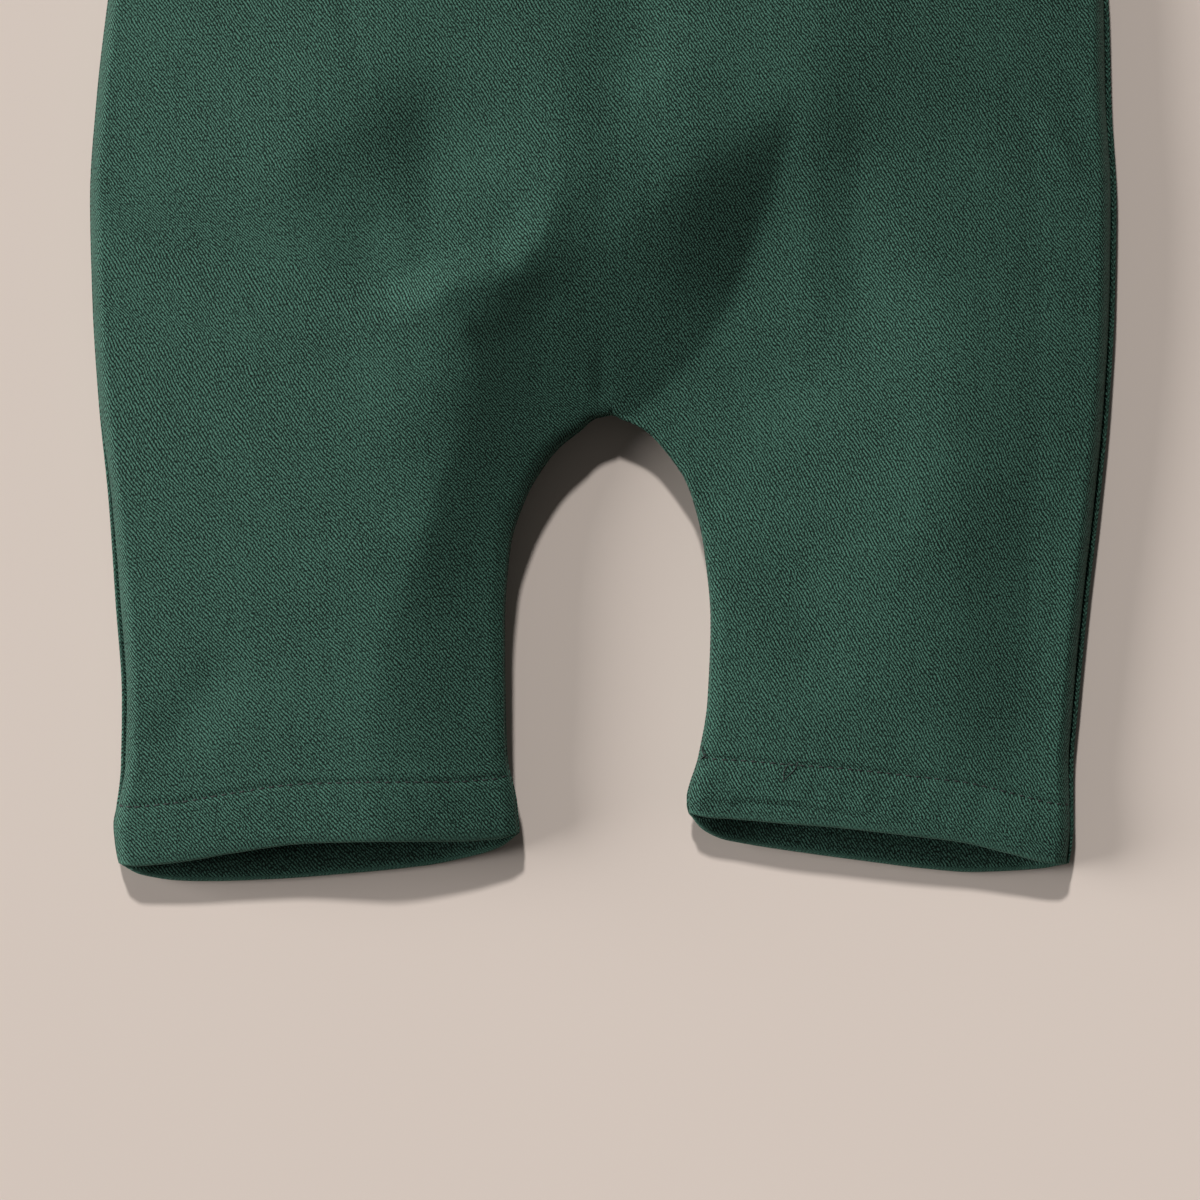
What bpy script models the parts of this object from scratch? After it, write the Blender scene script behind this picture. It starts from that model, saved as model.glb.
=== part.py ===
"""Short-legged baby overalls, laid flat on their back and lightly filled out.

Lengths in the tables are millimetres. Garment coordinates: x to the viewer's right, y from the crotch towards
the straps, z up from the surface that the garment lies on. place() moves them so that the origin is the
middle of the footprint, and turns them into metres.

The front and the back are one piece of cloth each, from the hems to the bib. They meet along the two side
seams and along the inseam, which runs from one inner hem corner over the crotch to the other.
"""

import math
from typing import NamedTuple

import bmesh
import bpy
import numpy as np

# ---------------------------------------------------------------- sizes

WALL = 1.2  # one layer of the twill, with its nap
HEM_WALL = 2.2  # two layers, where an edge is turned in and sewn down
HEM_DEPTH = 15.0  # from a leg's edge up to its line of stitching
EDGE_HEM = 6.5  # the turned edge round the bib and the armholes
HEM_GROOVE = 0.45  # how deep the hem's stitching pulls the cloth in
UNDERARM_Y = 165.0  # top of the side seams
STRAP_WIDTH = 25.0
BUTTON_DIAMETER = 15.0
BUTTON_THICK = 2.8
BUTTON_HOLE_DIAMETER = 1.9
BUTTON_HOLE_SPREAD = 1.9  # from the button's middle to the middle of a hole
GAP = 0.3  # between pieces that touch

GREEN = (0.026, 0.075, 0.056, 1.0)
BUTTON_GREEN = (0.018, 0.058, 0.043, 1.0)


class Top(NamedTuple):
    """The top edge of a panel: its level and half its width."""

    y: float
    half: float


TOPS = {"front": Top(240.0, 66.0), "back": Top(228.0, 71.0)}


class Side(NamedTuple):
    """One level of the outline's outer sides. show is how far the back's edge stands out past the front's."""

    y: float
    left: float
    right: float
    seam_z: float
    left_show: float
    right_show: float


SIDES = [
    Side(-116.0, -126.2, 119.9, 5.0, 0.0, 0.6),
    Side(-107.0, -127.4, 121.0, 5.0, 0.0, 0.8),
    Side(-100.0, -126.4, 120.9, 4.6, 0.2, 0.8),
    Side(-92.0, -125.5, 120.9, 4.4, 0.8, 1.0),
    Side(-74.0, -125.2, 122.3, 4.4, 1.0, 1.2),
    Side(-48.0, -126.9, 124.8, 4.4, 1.0, 1.2),
    Side(-22.0, -128.7, 127.8, 4.4, 0.6, 1.2),
    Side(4.0, -131.3, 130.3, 4.4, 0.0, 1.2),
    Side(30.0, -132.9, 131.7, 4.4, 0.0, 1.2),
    Side(56.0, -133.5, 132.1, 4.4, 0.0, 1.2),
    Side(82.0, -131.8, 130.7, 4.4, 0.0, 1.2),
    Side(108.0, -128.8, 130.0, 4.4, 0.0, 1.0),
    Side(138.0, -124.6, 126.0, 4.6, 0.0, 0.6),
    Side(UNDERARM_Y, -121.0, 121.0, 5.2, 0.0, 0.0),
]


class Arch(NamedTuple):
    """One level of the inseams, below the crotch."""

    y: float
    left: float
    right: float
    seam_z: float


# x, y and the height of the seam where the inseams meet, and at the legs' inner hem corners
CROTCH = (1.4, 0.0, 12.5)
INNER_CORNERS = {"left": (-22.7, -108.0, 7.4), "right": (21.7, -103.0, 7.4)}
ARCH = [
    Arch(-1.0, -3.0, 5.6, 12.5),
    Arch(-3.6, -6.1, 10.6, 12.4),
    Arch(-8.8, -12.4, 15.6, 12.2),
    Arch(-15.3, -17.3, 19.7, 12.0),
    Arch(-21.8, -20.8, 22.4, 11.8),
    Arch(-34.8, -24.8, 25.4, 11.5),
    Arch(-54.0, -26.2, 27.1, 11.0),
    Arch(-74.0, -26.1, 26.4, 10.5),
    Arch(-88.0, -25.7, 24.2, 9.6),
    Arch(-100.0, -23.4, 21.2, 8.2),
]


class Level(NamedTuple):
    """Height of the front over the middle of a leg or of the trunk."""

    y: float
    loft: float


LEVELS = [
    Level(-118.0, 16.2),
    Level(-100.0, 17.6),
    Level(-60.0, 20.5),
    Level(-10.0, 22.5),
    Level(40.0, 23.0),
    Level(90.0, 22.0),
    Level(130.0, 20.0),
    Level(160.0, 15.0),
    Level(182.0, 10.6),
    Level(203.0, 7.6),
    Level(220.0, 6.7),
    Level(240.0, 6.5),
]


class HemBow(NamedTuple):
    """How far a leg's hem bows from the straight line between its two corners: front up, back down."""

    across: float  # 0 at the side seam, 1 at the inseam
    front_left: float
    back_left: float
    front_right: float
    back_right: float


HEM_BOWS = [
    HemBow(0.00, 0.0, 0.0, 0.0, 0.0),
    HemBow(0.05, -0.8, -2.6, -0.2, -1.2),
    HemBow(0.15, -0.5, -5.1, 0.9, -3.3),
    HemBow(0.30, 0.9, -6.3, 2.3, -5.4),
    HemBow(0.45, 1.9, -6.7, 2.1, -5.8),
    HemBow(0.60, 1.3, -6.6, 1.8, -5.8),
    HemBow(0.75, 0.2, -6.2, 1.0, -5.7),
    HemBow(0.90, -0.8, -4.2, 0.3, -5.0),
    HemBow(0.96, -0.8, -2.4, -0.2, -3.2),
    HemBow(1.00, 0.0, 0.0, 0.0, 0.0),
]
BOW_REACH = 70.0  # the rows above a hem follow its bow less and less, up to here

ARMHOLE_Z = 5.0  # height of the armholes' edges and of the corners at their tops
TOP_CORNER_Z = 5.3


class Fold(NamedTuple):
    """A soft ridge (height above 0) or trough along a bent line. near and far are its half widths on the line's
    left and right hand; grow and fade are the shares of its length over which it rises and dies away."""

    start: tuple
    bend: tuple
    end: tuple
    height: float
    near: float
    far: float
    grow: float
    fade: float


FRONT_FOLDS = [
    # the ridge over the hollow of the crotch, and its shoulder down to the left leg
    Fold((-60.0, 22.0), (-36.0, 35.0), (-9.0, 54.0), 4.0, 6.5, 9.0, 0.35, 0.35),
    Fold((-42.0, 42.0), (-34.0, 20.0), (-24.0, -8.0), 4.4, 15.0, 10.0, 0.3, 0.4),
    Fold((-40.0, 28.0), (-22.0, 26.0), (-2.0, 14.0), -3.0, 8.0, 9.0, 0.2, 0.4),
    # drag line from the crotch to the right, and the trough up from its bend
    Fold((2.0, 0.5), (26.0, 10.0), (66.0, 5.0), -5.0, 15.0, 8.0, 0.3, 0.6),
    Fold((40.0, 74.0), (36.0, 40.0), (25.0, 8.0), -5.4, 5.0, 17.0, 0.4, 0.3),
    # long trough over the right thigh
    Fold((68.0, 90.0), (69.5, 48.0), (66.0, 6.0), -3.2, 13.0, 10.0, 0.2, 0.3),
    # dent over the left thigh, and its tail
    Fold((-84.0, 52.0), (-68.0, 70.0), (-43.0, 64.0), -2.8, 7.0, 13.0, 0.4, 0.3),
    Fold((-60.0, 56.0), (-60.0, 40.0), (-63.0, 26.0), -1.4, 7.0, 10.0, 0.3, 0.5),
    # broad ribs up the middle of the trunk
    Fold((-14.0, 104.0), (-12.0, 74.0), (-12.0, 46.0), 1.8, 11.0, 22.0, 0.4, 0.3),
    Fold((10.0, 98.0), (24.0, 80.0), (24.0, 56.0), 1.6, 13.0, 13.0, 0.4, 0.4),
    Fold((8.0, 124.0), (7.0, 98.0), (5.0, 78.0), -1.8, 11.0, 12.0, 0.3, 0.4),
    # the left leg's crest, a dent across its outer side and a drag line over its middle
    Fold((-26.0, -4.0), (-50.0, -34.0), (-64.0, -94.0), 2.6, 15.0, 20.0, 0.3, 0.2),
    Fold((-94.0, -58.0), (-104.0, -74.0), (-116.0, -89.0), -2.0, 6.0, 6.0, 0.35, 0.25),
    Fold((-82.0, -39.0), (-56.0, -35.0), (-38.0, -26.0), 0.9, 4.0, 8.0, 0.4, 0.3),
    # the right leg's middle and outer side
    Fold((48.0, -26.0), (50.0, -52.0), (60.0, -78.0), -1.4, 12.0, 12.0, 0.4, 0.4),
    Fold((118.0, -6.0), (106.0, -48.0), (102.0, -94.0), -1.6, 12.0, 14.0, 0.3, 0.2),
    # across the waist, where the trunk flattens towards the bib
    Fold((-96.0, 150.0), (-50.0, 140.0), (-6.0, 146.0), -1.8, 8.0, 8.0, 0.3, 0.4),
    Fold((18.0, 160.0), (58.0, 150.0), (100.0, 158.0), -1.8, 8.0, 8.0, 0.4, 0.3),
]
FOLD_CLEAR = 9.0  # a fold dies away within this distance of a seam
SEAM_CLEAR = 7.0  # and so does the second layer of a turned edge


class Rise(NamedTuple):
    """How the front climbs from a seam: a share of the climb, done within a reach, along a curve."""

    share: float
    reach: float
    power: float


SIDE_RISE = [Rise(0.14, 4.0, 2.0), Rise(0.86, 60.0, 1.5)]
INSEAM_RISE = [Rise(0.18, 5.0, 2.0), Rise(0.82, 38.0, 1.5)]
# how far from a seam the back leaves the surface, and how far up it stops doing so past the underarm
BACK_SIDE_REACH = 13.0
BACK_INSEAM_REACH = 26.0
BACK_SETTLE = 18.0

# the rows and columns of the two cloth panels
FRONT_ACROSS = np.array([0, 0.012, 0.035, 0.07, 0.115, *np.linspace(0.165, 0.875, 14), 0.92, 0.96, 0.985, 1])
BACK_ACROSS = np.array([0, 0.03, 0.08, 0.15, 0.25, 0.37, 0.50, 0.63, 0.75, 0.85, 0.92, 0.97, 1])
HEM_ROWS = [0.0, 5.0, 10.0, 13.6, HEM_DEPTH, 16.4, 21.0]  # mm above the hem
JOIN_Y = 25.0  # where the row from the crotch reaches the side seams


class Rows(NamedTuple):
    leg: int
    trunk: int
    bib: int


FRONT_ROWS = Rows(17, 21, 11)
BACK_ROWS = Rows(8, 9, 7)

LINE_POINTS = 60  # along a seam or an armhole
CHAIN_STEP = 3.0  # between the points of a chain that distances are measured from
WAIST_Y = 153.0  # up the middle, the row that ends at the underarms


# ---------------------------------------------------------------- curves and tables


def column(table, name):
    return np.array([getattr(row, name) for row in table], float)


def through(knots, values, at):
    """Value at each `at` of a smooth curve through a table's rows, which never swings past them."""
    knots, values, at = (np.asarray(a, float) for a in (knots, values, at))
    steps = np.diff(values) / np.diff(knots)
    before, after = steps[:-1], steps[1:]
    turning = before * after <= 0
    shared = 2 * before * after / np.where(turning, 1.0, before + after)
    slopes = np.concatenate([steps[:1], np.where(turning, 0.0, shared), steps[-1:]])
    i = np.clip(np.searchsorted(knots, at) - 1, 0, len(knots) - 2)
    gap = knots[i + 1] - knots[i]
    t = np.clip((at - knots[i]) / gap, 0, 1)
    a, b = values[i], values[i + 1]
    bulge = t * (1 - t) * ((1 - t) * (slopes[i] * gap - (b - a)) - t * (slopes[i + 1] * gap - (b - a)))
    return a + (b - a) * t + bulge


def lengths(points):
    steps = np.linalg.norm(np.diff(points, axis=0), axis=1)
    return np.concatenate([[0.0], np.cumsum(steps)])


def along(points, distances):
    """Points at these distances along a smooth curve through the given ones."""
    at = lengths(points[:, :2])
    return np.stack([through(at, points[:, k], distances) for k in range(points.shape[1])], axis=1)


def bezier(a, b, c, d):
    """Points along a cubic curve that leaves a towards b and reaches d from c."""
    t = np.linspace(0, 1, LINE_POINTS)[:, None]
    a, b, c, d = (np.array(p, float) for p in (a, b, c, d))
    return (1 - t) ** 3 * a + 3 * (1 - t) ** 2 * t * b + 3 * (1 - t) * t**2 * c + t**3 * d


def smooth_step(t):
    t = np.clip(t, 0, 1)
    return t * t * (3 - 2 * t)


# ---------------------------------------------------------------- the outline


def side_line(side, panel):
    """Points of a side seam from the hem to the underarm: x, y and the height of the seam."""
    y = column(SIDES, "y")
    x = column(SIDES, side)
    if panel == "front":
        x = x - math.copysign(1, x[0]) * column(SIDES, side + "_show")
    rows = np.linspace(y[0], y[-1], LINE_POINTS)
    return np.stack([through(y, x, rows), rows, through(y, column(SIDES, "seam_z"), rows)], axis=1)


def inseam_line(side):
    """Points of an inseam from the hem up to the crotch: x, y and the height of the seam."""
    between = [(getattr(row, side), row.y, row.seam_z) for row in reversed(ARCH)]
    points = np.array([INNER_CORNERS[side], *between, CROTCH])
    return along(points, np.linspace(0, lengths(points[:, :2])[-1], LINE_POINTS))


def armhole_line(side, panel):
    """Points of an armhole from the underarm to the top corner of the bib or back: x, y and the edge's height."""
    top = TOPS[panel]
    underarm = side_line(side, panel)[-1]
    out = math.copysign(1, underarm[0])
    leaves = (out * 101, UNDERARM_Y + 9, ARMHOLE_Z)
    arrives = (out * (top.half + 8), top.y - 42, ARMHOLE_Z)
    return bezier(underarm, leaves, arrives, (out * top.half, top.y, TOP_CORNER_Z))


class Outline:
    """The edges of one panel: its side seams, inseams and armholes, and these joined up as chains."""

    def __init__(self, panel):
        self.panel = panel
        self.side = {s: side_line(s, panel) for s in ("left", "right")}
        self.inseam = {s: inseam_line(s) for s in ("left", "right")}
        self.armhole = {s: armhole_line(s, panel) for s in ("left", "right")}
        self.sides = [coarser(self.side[s]) for s in ("left", "right")]
        self.inseams = [coarser(self.inseam[s]) for s in ("left", "right")]
        self.armholes = [self.armhole[s] for s in ("left", "right")]


def coarser(line):
    total = lengths(line[:, :2])[-1]
    return along(line, np.linspace(0, total, max(2, round(total / CHAIN_STEP))))


def nearest(points, chains):
    """For each point, its distance in plan to the nearest of some chains of points, and the third column there."""
    starts = np.concatenate([chain[:-1] for chain in chains])
    ends = np.concatenate([chain[1:] for chain in chains])
    run = (ends - starts)[:, :2]
    offset = points[:, None, :2] - starts[None, :, :2]
    share = np.clip((offset * run).sum(axis=2) / (run * run).sum(axis=1), 0, 1)
    apart = np.linalg.norm(offset - share[:, :, None] * run, axis=2)
    pick = apart.argmin(axis=1)
    rows = np.arange(len(points))
    third = starts[pick, 2] + share[rows, pick] * (ends - starts)[pick, 2]
    return apart[rows, pick], third


# ---------------------------------------------------------------- heights


def climb_left(distance, rises):
    """1 at a seam, falling to 0 where the last of the rises is done."""
    return sum(rise.share * np.clip(1 - distance / rise.reach, 0, 1) ** rise.power for rise in rises)


def fold_height(points, fold):
    start, bend, end = (np.array(p) for p in (fold.start, fold.bend, fold.end))
    t = np.linspace(0, 1, 25)[:, None]
    line = (1 - t) ** 2 * start + 2 * (1 - t) * t * bend + t**2 * end
    away, share = nearest(points, [np.column_stack([line, t])])
    t = share[:, None]
    foot = (1 - t) ** 2 * start + 2 * (1 - t) * t * bend + t**2 * end
    heading = (1 - t) * (bend - start) + t * (end - bend)
    offset = points[:, :2] - foot
    turn = heading[:, 0] * offset[:, 1] - heading[:, 1] * offset[:, 0]
    width = np.where(turn > 0, fold.near, fold.far)
    strength = smooth_step(share / fold.grow) * smooth_step((1 - share) / fold.fade)
    return fold.height * strength * np.exp(-((away / width) ** 2))


def front_heights(points, outline):
    """Height of the front's outer face at points in plan."""
    loft = through(column(LEVELS, "y"), column(LEVELS, "loft"), points[:, 1])
    side_away, side_z = nearest(points, outline.sides + outline.armholes)
    inner_away, inner_z = nearest(points, outline.inseams)
    side_drop = (1 - (side_z + WALL) / loft) * climb_left(side_away, SIDE_RISE)
    inner_drop = (1 - (inner_z + WALL) / loft) * climb_left(inner_away, INSEAM_RISE)
    clear = smooth_step(np.minimum(side_away, inner_away) / FOLD_CLEAR)
    folds = sum(fold_height(points, fold) for fold in FRONT_FOLDS)
    return loft * (1 - side_drop) * (1 - inner_drop) + folds * clear


def back_heights(points, outline):
    """Height of the back's outer face, which lies on the surface but for its seams."""
    side_away, side_z = nearest(points, outline.sides)
    inner_away, inner_z = nearest(points, outline.inseams)
    side = (side_z - WALL) * np.clip(1 - side_away / BACK_SIDE_REACH, 0, 1) ** 2
    inner = (inner_z - WALL) * np.clip(1 - inner_away / BACK_INSEAM_REACH, 0, 1) ** 2
    above = smooth_step((points[:, 1] - UNDERARM_Y) / BACK_SETTLE)
    return np.maximum(side, inner) * (1 - above)


def close_seam(edge, inside, seam_z, above):
    """Sets the heights of points on a panel's edge so that its rim ends half a gap from the seam's height."""
    run = np.linalg.norm(edge[:, :2] - inside[:, :2], axis=1)
    for _ in range(4):
        upright = run / np.hypot(run, edge[:, 2] - inside[:, 2])
        edge[:, 2] = seam_z + (1 if above else -1) * (GAP / 2 + WALL * upright)


# ---------------------------------------------------------------- rows of a panel


def hem_bow(side, panel, across):
    bows = column(HEM_BOWS, f"{panel}_{side}")
    return through(column(HEM_BOWS, "across"), bows, across)


def leg_rows(side, outline, across, count):
    """Rows of plan points from a leg's hem up to the row that starts at the crotch."""
    outer, inner = outline.side[side], outline.inseam[side]
    join = np.searchsorted(outer[:, 1], JOIN_Y)
    outer_length, inner_length = lengths(outer[: join + 1, :2])[-1], lengths(inner[:, :2])[-1]
    above_hem = np.linspace(HEM_ROWS[-1], outer_length, count + 1)[1:]
    outer_at = np.concatenate([HEM_ROWS, above_hem])
    stretch = (inner_length - HEM_ROWS[-1]) / (outer_length - HEM_ROWS[-1])
    inner_at = np.where(outer_at > HEM_ROWS[-1], HEM_ROWS[-1] + (outer_at - HEM_ROWS[-1]) * stretch, outer_at)
    starts, ends = along(outer, outer_at)[:, :2], along(inner, inner_at)[:, :2]
    bow = hem_bow(side, outline.panel, across)
    rows = []
    for start, end, height in zip(starts, ends, outer_at):
        row = start + np.outer(across, end - start)
        row[:, 1] += bow * (1 - smooth_step((height - HEM_DEPTH) / BOW_REACH))
        rows.append(row)
    return rows


def trunk_rows(side, outline, across, counts):
    """Rows of plan points from the crotch row's upper neighbour to the top edge."""
    outer, armhole = outline.side[side], outline.armhole[side]
    join = np.searchsorted(outer[:, 1], JOIN_Y)
    side_part = outer[join:]
    top = armhole[-1, 1]
    up_side = along(side_part, np.linspace(0, lengths(side_part[:, :2])[-1], counts.trunk + 1)[1:])[:, :2]
    up_arm = along(armhole, np.linspace(0, lengths(armhole[:, :2])[-1], counts.bib + 1)[1:])[:, :2]
    centre_y = [*np.linspace(0, WAIST_Y, counts.trunk + 1)[1:], *np.linspace(WAIST_Y, top, counts.bib + 1)[1:]]
    rows = []
    for start, y in zip([*up_side, *up_arm], centre_y):
        end = np.array([CROTCH[0] * (1 - y / top), y])
        rows.append(start + np.outer(across, end - start))
    return rows


# ---------------------------------------------------------------- building in Blender


def footprint_centre():
    sides = [*column(SIDES, "left"), *column(SIDES, "right")]
    lowest = leg_rows("left", Outline("back"), BACK_ACROSS, 1)[0][:, 1].min()
    highest = strap_rows(1)[..., 1].max() + WALL / 2
    return (min(sides) + max(sides)) / 2, (lowest + highest) / 2


def place(points):
    """Garment coordinates in millimetres to the part's own frame in metres."""
    return (np.asarray(points, float) - (*CENTRE, 0.0)) / 1000


def cloth_material(name, colour, roughness):
    material = bpy.data.materials.new(name)
    material.use_nodes = True
    shader = material.node_tree.nodes["Principled BSDF"]
    shader.inputs["Base Color"].default_value = colour
    shader.inputs["Roughness"].default_value = roughness
    shader.inputs["Metallic"].default_value = 0.0
    return material


def add_lattice(bm, rows, doubled=None):
    """Adds a grid to bm and moves its vertices onto rows of points in metres, with where the cloth is doubled."""
    high, wide = len(rows), len(rows[0])
    doubled = np.zeros((high, wide)) if doubled is None else doubled
    weights = bm.verts.layers.deform.verify()
    for vertex in bmesh.ops.create_grid(bm, x_segments=wide - 1, y_segments=high - 1, size=1.0)["verts"]:
        i = round((vertex.co.x + 1) / 2 * (wide - 1))
        j = round((vertex.co.y + 1) / 2 * (high - 1))
        vertex.co = rows[j][i]
        vertex[weights][0] = doubled[j][i]


def add_object(name, bm, material, collection, face_down=False):
    bmesh.ops.remove_doubles(bm, verts=bm.verts, dist=1e-6)
    bmesh.ops.recalc_face_normals(bm, faces=bm.faces)
    facing = sum(face.normal.z * face.calc_area() for face in bm.faces)
    if (facing < 0) != face_down:
        bmesh.ops.reverse_faces(bm, faces=bm.faces)
    mesh = bpy.data.meshes.new(name)
    bm.to_mesh(mesh)
    bm.free()
    mesh.shade_smooth()
    mesh.materials.append(material)
    made = bpy.data.objects.new(name, mesh)
    collection.objects.link(made)
    return made


def doubled_cloth(lattice, outline):
    """1 where the cloth is turned in, at the hems, the armholes and the top, and 0 elsewhere and at a seam."""
    flat = lattice[..., :2].reshape(-1, 2)
    turned = nearest(flat, [armhole[8:] for armhole in outline.armholes])[0] < EDGE_HEM
    turned |= flat[:, 1] > outline.armholes[0][-1, 1] - EDGE_HEM
    turned = turned.reshape(lattice.shape[:2])
    turned[: HEM_ROWS.index(HEM_DEPTH) + 1] = True
    clear = smooth_step(nearest(flat, outline.sides + outline.inseams)[0] / SEAM_CLEAR)
    return turned * clear.reshape(turned.shape)


def panel_lattice(side, outline, across, counts):
    """Rows of points, from hem to top, of one side of the front's or the back's outer face."""
    front = outline.panel == "front"
    legs = leg_rows(side, outline, across, counts.leg)
    plan = np.array([*legs, *trunk_rows(side, outline, across, counts)])
    heights = front_heights if front else back_heights
    z = heights(plan.reshape(-1, 2), outline).reshape(plan.shape[:2])
    if front:
        z[HEM_ROWS.index(HEM_DEPTH), 1:-1] -= HEM_GROOVE
    lattice = np.dstack([plan, z])
    side_rows, inseam_rows = lattice[: len(legs) + counts.trunk], lattice[: len(legs)]
    close_seam(side_rows[:, 0], side_rows[:, 1], nearest(side_rows[:, 0], outline.sides)[1], front)
    close_seam(inseam_rows[:, -1], inseam_rows[:, -2], nearest(inseam_rows[:, -1], outline.inseams)[1], front)
    return lattice


def panel(name, across, counts, collection, material):
    """The front or the back, both legs with the trunk and bib above them, as one sheet with a wall."""
    outline = Outline(name)
    bm = bmesh.new()
    for side in ("left", "right"):
        lattice = panel_lattice(side, outline, across, counts)
        add_lattice(bm, place(lattice), doubled_cloth(lattice, outline))
    made = add_object(name, bm, material, collection, face_down=name == "back")
    group = made.vertex_groups.new(name="doubled")
    wall = made.modifiers.new("wall", "SOLIDIFY")
    wall.thickness = HEM_WALL / 1000
    wall.offset = -1
    wall.vertex_group = group.name
    wall.thickness_vertex_group = WALL / HEM_WALL


class StrapPoint(NamedTuple):
    """One station of a strap's middle line: x is out from the garment's centre, z is the middle of its wall."""

    x: float
    y: float
    z: float


ON_BIB = 0.0  # stands for a height that is read from the bib
ON_SURFACE = WALL / 2 + 0.02
IN_BACK = HEM_WALL + GAP + WALL / 2
STRAP_LINE = [
    StrapPoint(50.0, 212.0, ON_BIB),
    StrapPoint(50.0, 224.0, ON_BIB),
    StrapPoint(49.8, 236.0, ON_BIB),
    StrapPoint(49.6, 243.5, 7.4),
    StrapPoint(49.2, 254.0, 5.4),
    StrapPoint(48.4, 264.0, 3.4),
    StrapPoint(47.6, 280.0, 2.9),
    StrapPoint(46.8, 296.0, 3.1),
    StrapPoint(46.2, 308.0, 3.6),
    StrapPoint(46.0, 313.0, 3.5),
    StrapPoint(45.9, 314.4, 2.1),
    StrapPoint(45.8, 313.0, 0.7),
    StrapPoint(45.6, 307.0, ON_SURFACE),
    StrapPoint(45.0, 292.0, ON_SURFACE),
    StrapPoint(44.0, 268.0, ON_SURFACE),
    StrapPoint(43.0, 246.0, ON_SURFACE),
    StrapPoint(42.6, 238.0, 1.0),
    StrapPoint(42.2, 230.5, 2.9),
    StrapPoint(42.0, 222.0, IN_BACK),
    StrapPoint(42.0, 213.0, IN_BACK),
]
FOLD_START, FOLD_END = 8, 12  # the stations between which the strap turns over
STRAP_COLUMNS = 5
STRAP_STEP = 6.0
TIP_ROUND = 7.0  # length over which the buttoned end narrows to its rounded tip
TIP_NARROW = 0.34


def above_bib(points):
    """Height of the middle of a strap's wall where it rests on the bib."""
    return front_heights(points, Outline("front")) + GAP + WALL / 2


def strap_rows(out):
    """Rows of points across a strap, from its buttoned end to the end sewn inside the back."""
    line = np.array(STRAP_LINE, float)
    line[:, 0] *= out
    on_bib = line[:, 2] == ON_BIB
    line[on_bib, 2] = above_bib(line[on_bib, :2])
    at = lengths(line)
    stations = [
        *(0.0, 1.2, 3.0, TIP_ROUND),
        *np.arange(TIP_ROUND + STRAP_STEP, at[FOLD_START], STRAP_STEP),
        *np.linspace(at[FOLD_START], at[FOLD_END], 9),
        *np.arange(at[FOLD_END] + STRAP_STEP, at[-1] - 2.0, STRAP_STEP),
        at[-1],
    ]
    middle = np.stack([through(at, line[:, k], stations) for k in range(3)], axis=1)
    narrow = np.clip(1 - np.array(stations) / TIP_ROUND, 0, 1)
    half = STRAP_WIDTH / 2 * (1 - TIP_NARROW * narrow**2)
    rows = np.repeat(middle[:, None, :], STRAP_COLUMNS, axis=1)
    rows[:, :, 0] += np.outer(half, np.linspace(-1, 1, STRAP_COLUMNS))
    bib_rows = rows[: np.searchsorted(stations, at[on_bib][-1])]
    bib_rows[..., 2] = above_bib(bib_rows[..., :2].reshape(-1, 2)).reshape(bib_rows.shape[:2])
    return rows


def strap(name, out, collection, material):
    """A flat band from the back's top edge, over a fold, down to its buttoned end on the bib."""
    bm = bmesh.new()
    add_lattice(bm, place(strap_rows(out)))
    made = add_object(name, bm, material, collection)
    wall = made.modifiers.new("wall", "SOLIDIFY")
    wall.thickness = WALL / 1000
    wall.offset = 0


class Turned(NamedTuple):
    """One corner of a button's profile."""

    radius: float
    height: float


BUTTON_PROFILE = [
    Turned(0.0, BUTTON_THICK - 0.8),
    Turned(4.4, BUTTON_THICK - 0.8),
    Turned(5.3, BUTTON_THICK - 0.15),
    Turned(6.1, BUTTON_THICK),
    Turned(BUTTON_DIAMETER / 2 - 0.45, BUTTON_THICK - 0.35),
    Turned(BUTTON_DIAMETER / 2, BUTTON_THICK * 0.55),
    Turned(BUTTON_DIAMETER / 2 - 0.4, 0.45),
    Turned(BUTTON_DIAMETER / 2 - 1.4, 0.0),
    Turned(0.0, 0.0),
]
BUTTON_STEPS = 28
BUTTON_HOLES = 4
HOLE_SEGMENTS = 10


def button(name, out, collection, material):
    """A sew-through button: a turned disc with a raised rim and a dished middle, and four holes."""
    mesh = bpy.data.meshes.new(name)
    points = [(corner.radius / 1000, 0, corner.height / 1000) for corner in BUTTON_PROFILE]
    mesh.from_pydata(points, [(i, i + 1) for i in range(len(points) - 1)], [])
    mesh.materials.append(material)
    made = bpy.data.objects.new(name, mesh)
    collection.objects.link(made)
    spot = (out * STRAP_LINE[1].x, STRAP_LINE[1].y)
    seat = above_bib(np.array([spot]))[0] + WALL / 2 + GAP
    made.location = place((*spot, seat))
    turn = made.modifiers.new("turn", "SCREW")
    turn.steps = turn.render_steps = BUTTON_STEPS
    turn.use_merge_vertices = True
    turn.merge_threshold = 0.00001
    for number in range(BUTTON_HOLES):
        angle = math.radians(45) + math.tau * number / BUTTON_HOLES
        cut = made.modifiers.new(f"hole_{number}", "BOOLEAN")
        cut.operation = "DIFFERENCE"
        cut.solver = "EXACT"
        cut.object = button_hole(f"{name}_hole_{number}", made, angle)


def button_hole(name, owner, angle):
    """A cutter through a button's wall, kept out of the model."""
    bm = bmesh.new()
    radius = BUTTON_HOLE_DIAMETER / 2000
    depth = BUTTON_DIAMETER / 1000
    bmesh.ops.create_cone(
        bm, cap_ends=True, segments=HOLE_SEGMENTS, radius1=radius, radius2=radius, depth=depth
    )
    mesh = bpy.data.meshes.new(name)
    bm.to_mesh(mesh)
    bm.free()
    made = bpy.data.objects.new(name, mesh)
    cutters().objects.link(made)
    made.hide_render = True
    made.display_type = "WIRE"
    made.location = owner.location
    made.location.x += BUTTON_HOLE_SPREAD / 1000 * math.cos(angle)
    made.location.y += BUTTON_HOLE_SPREAD / 1000 * math.sin(angle)
    return made


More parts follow.
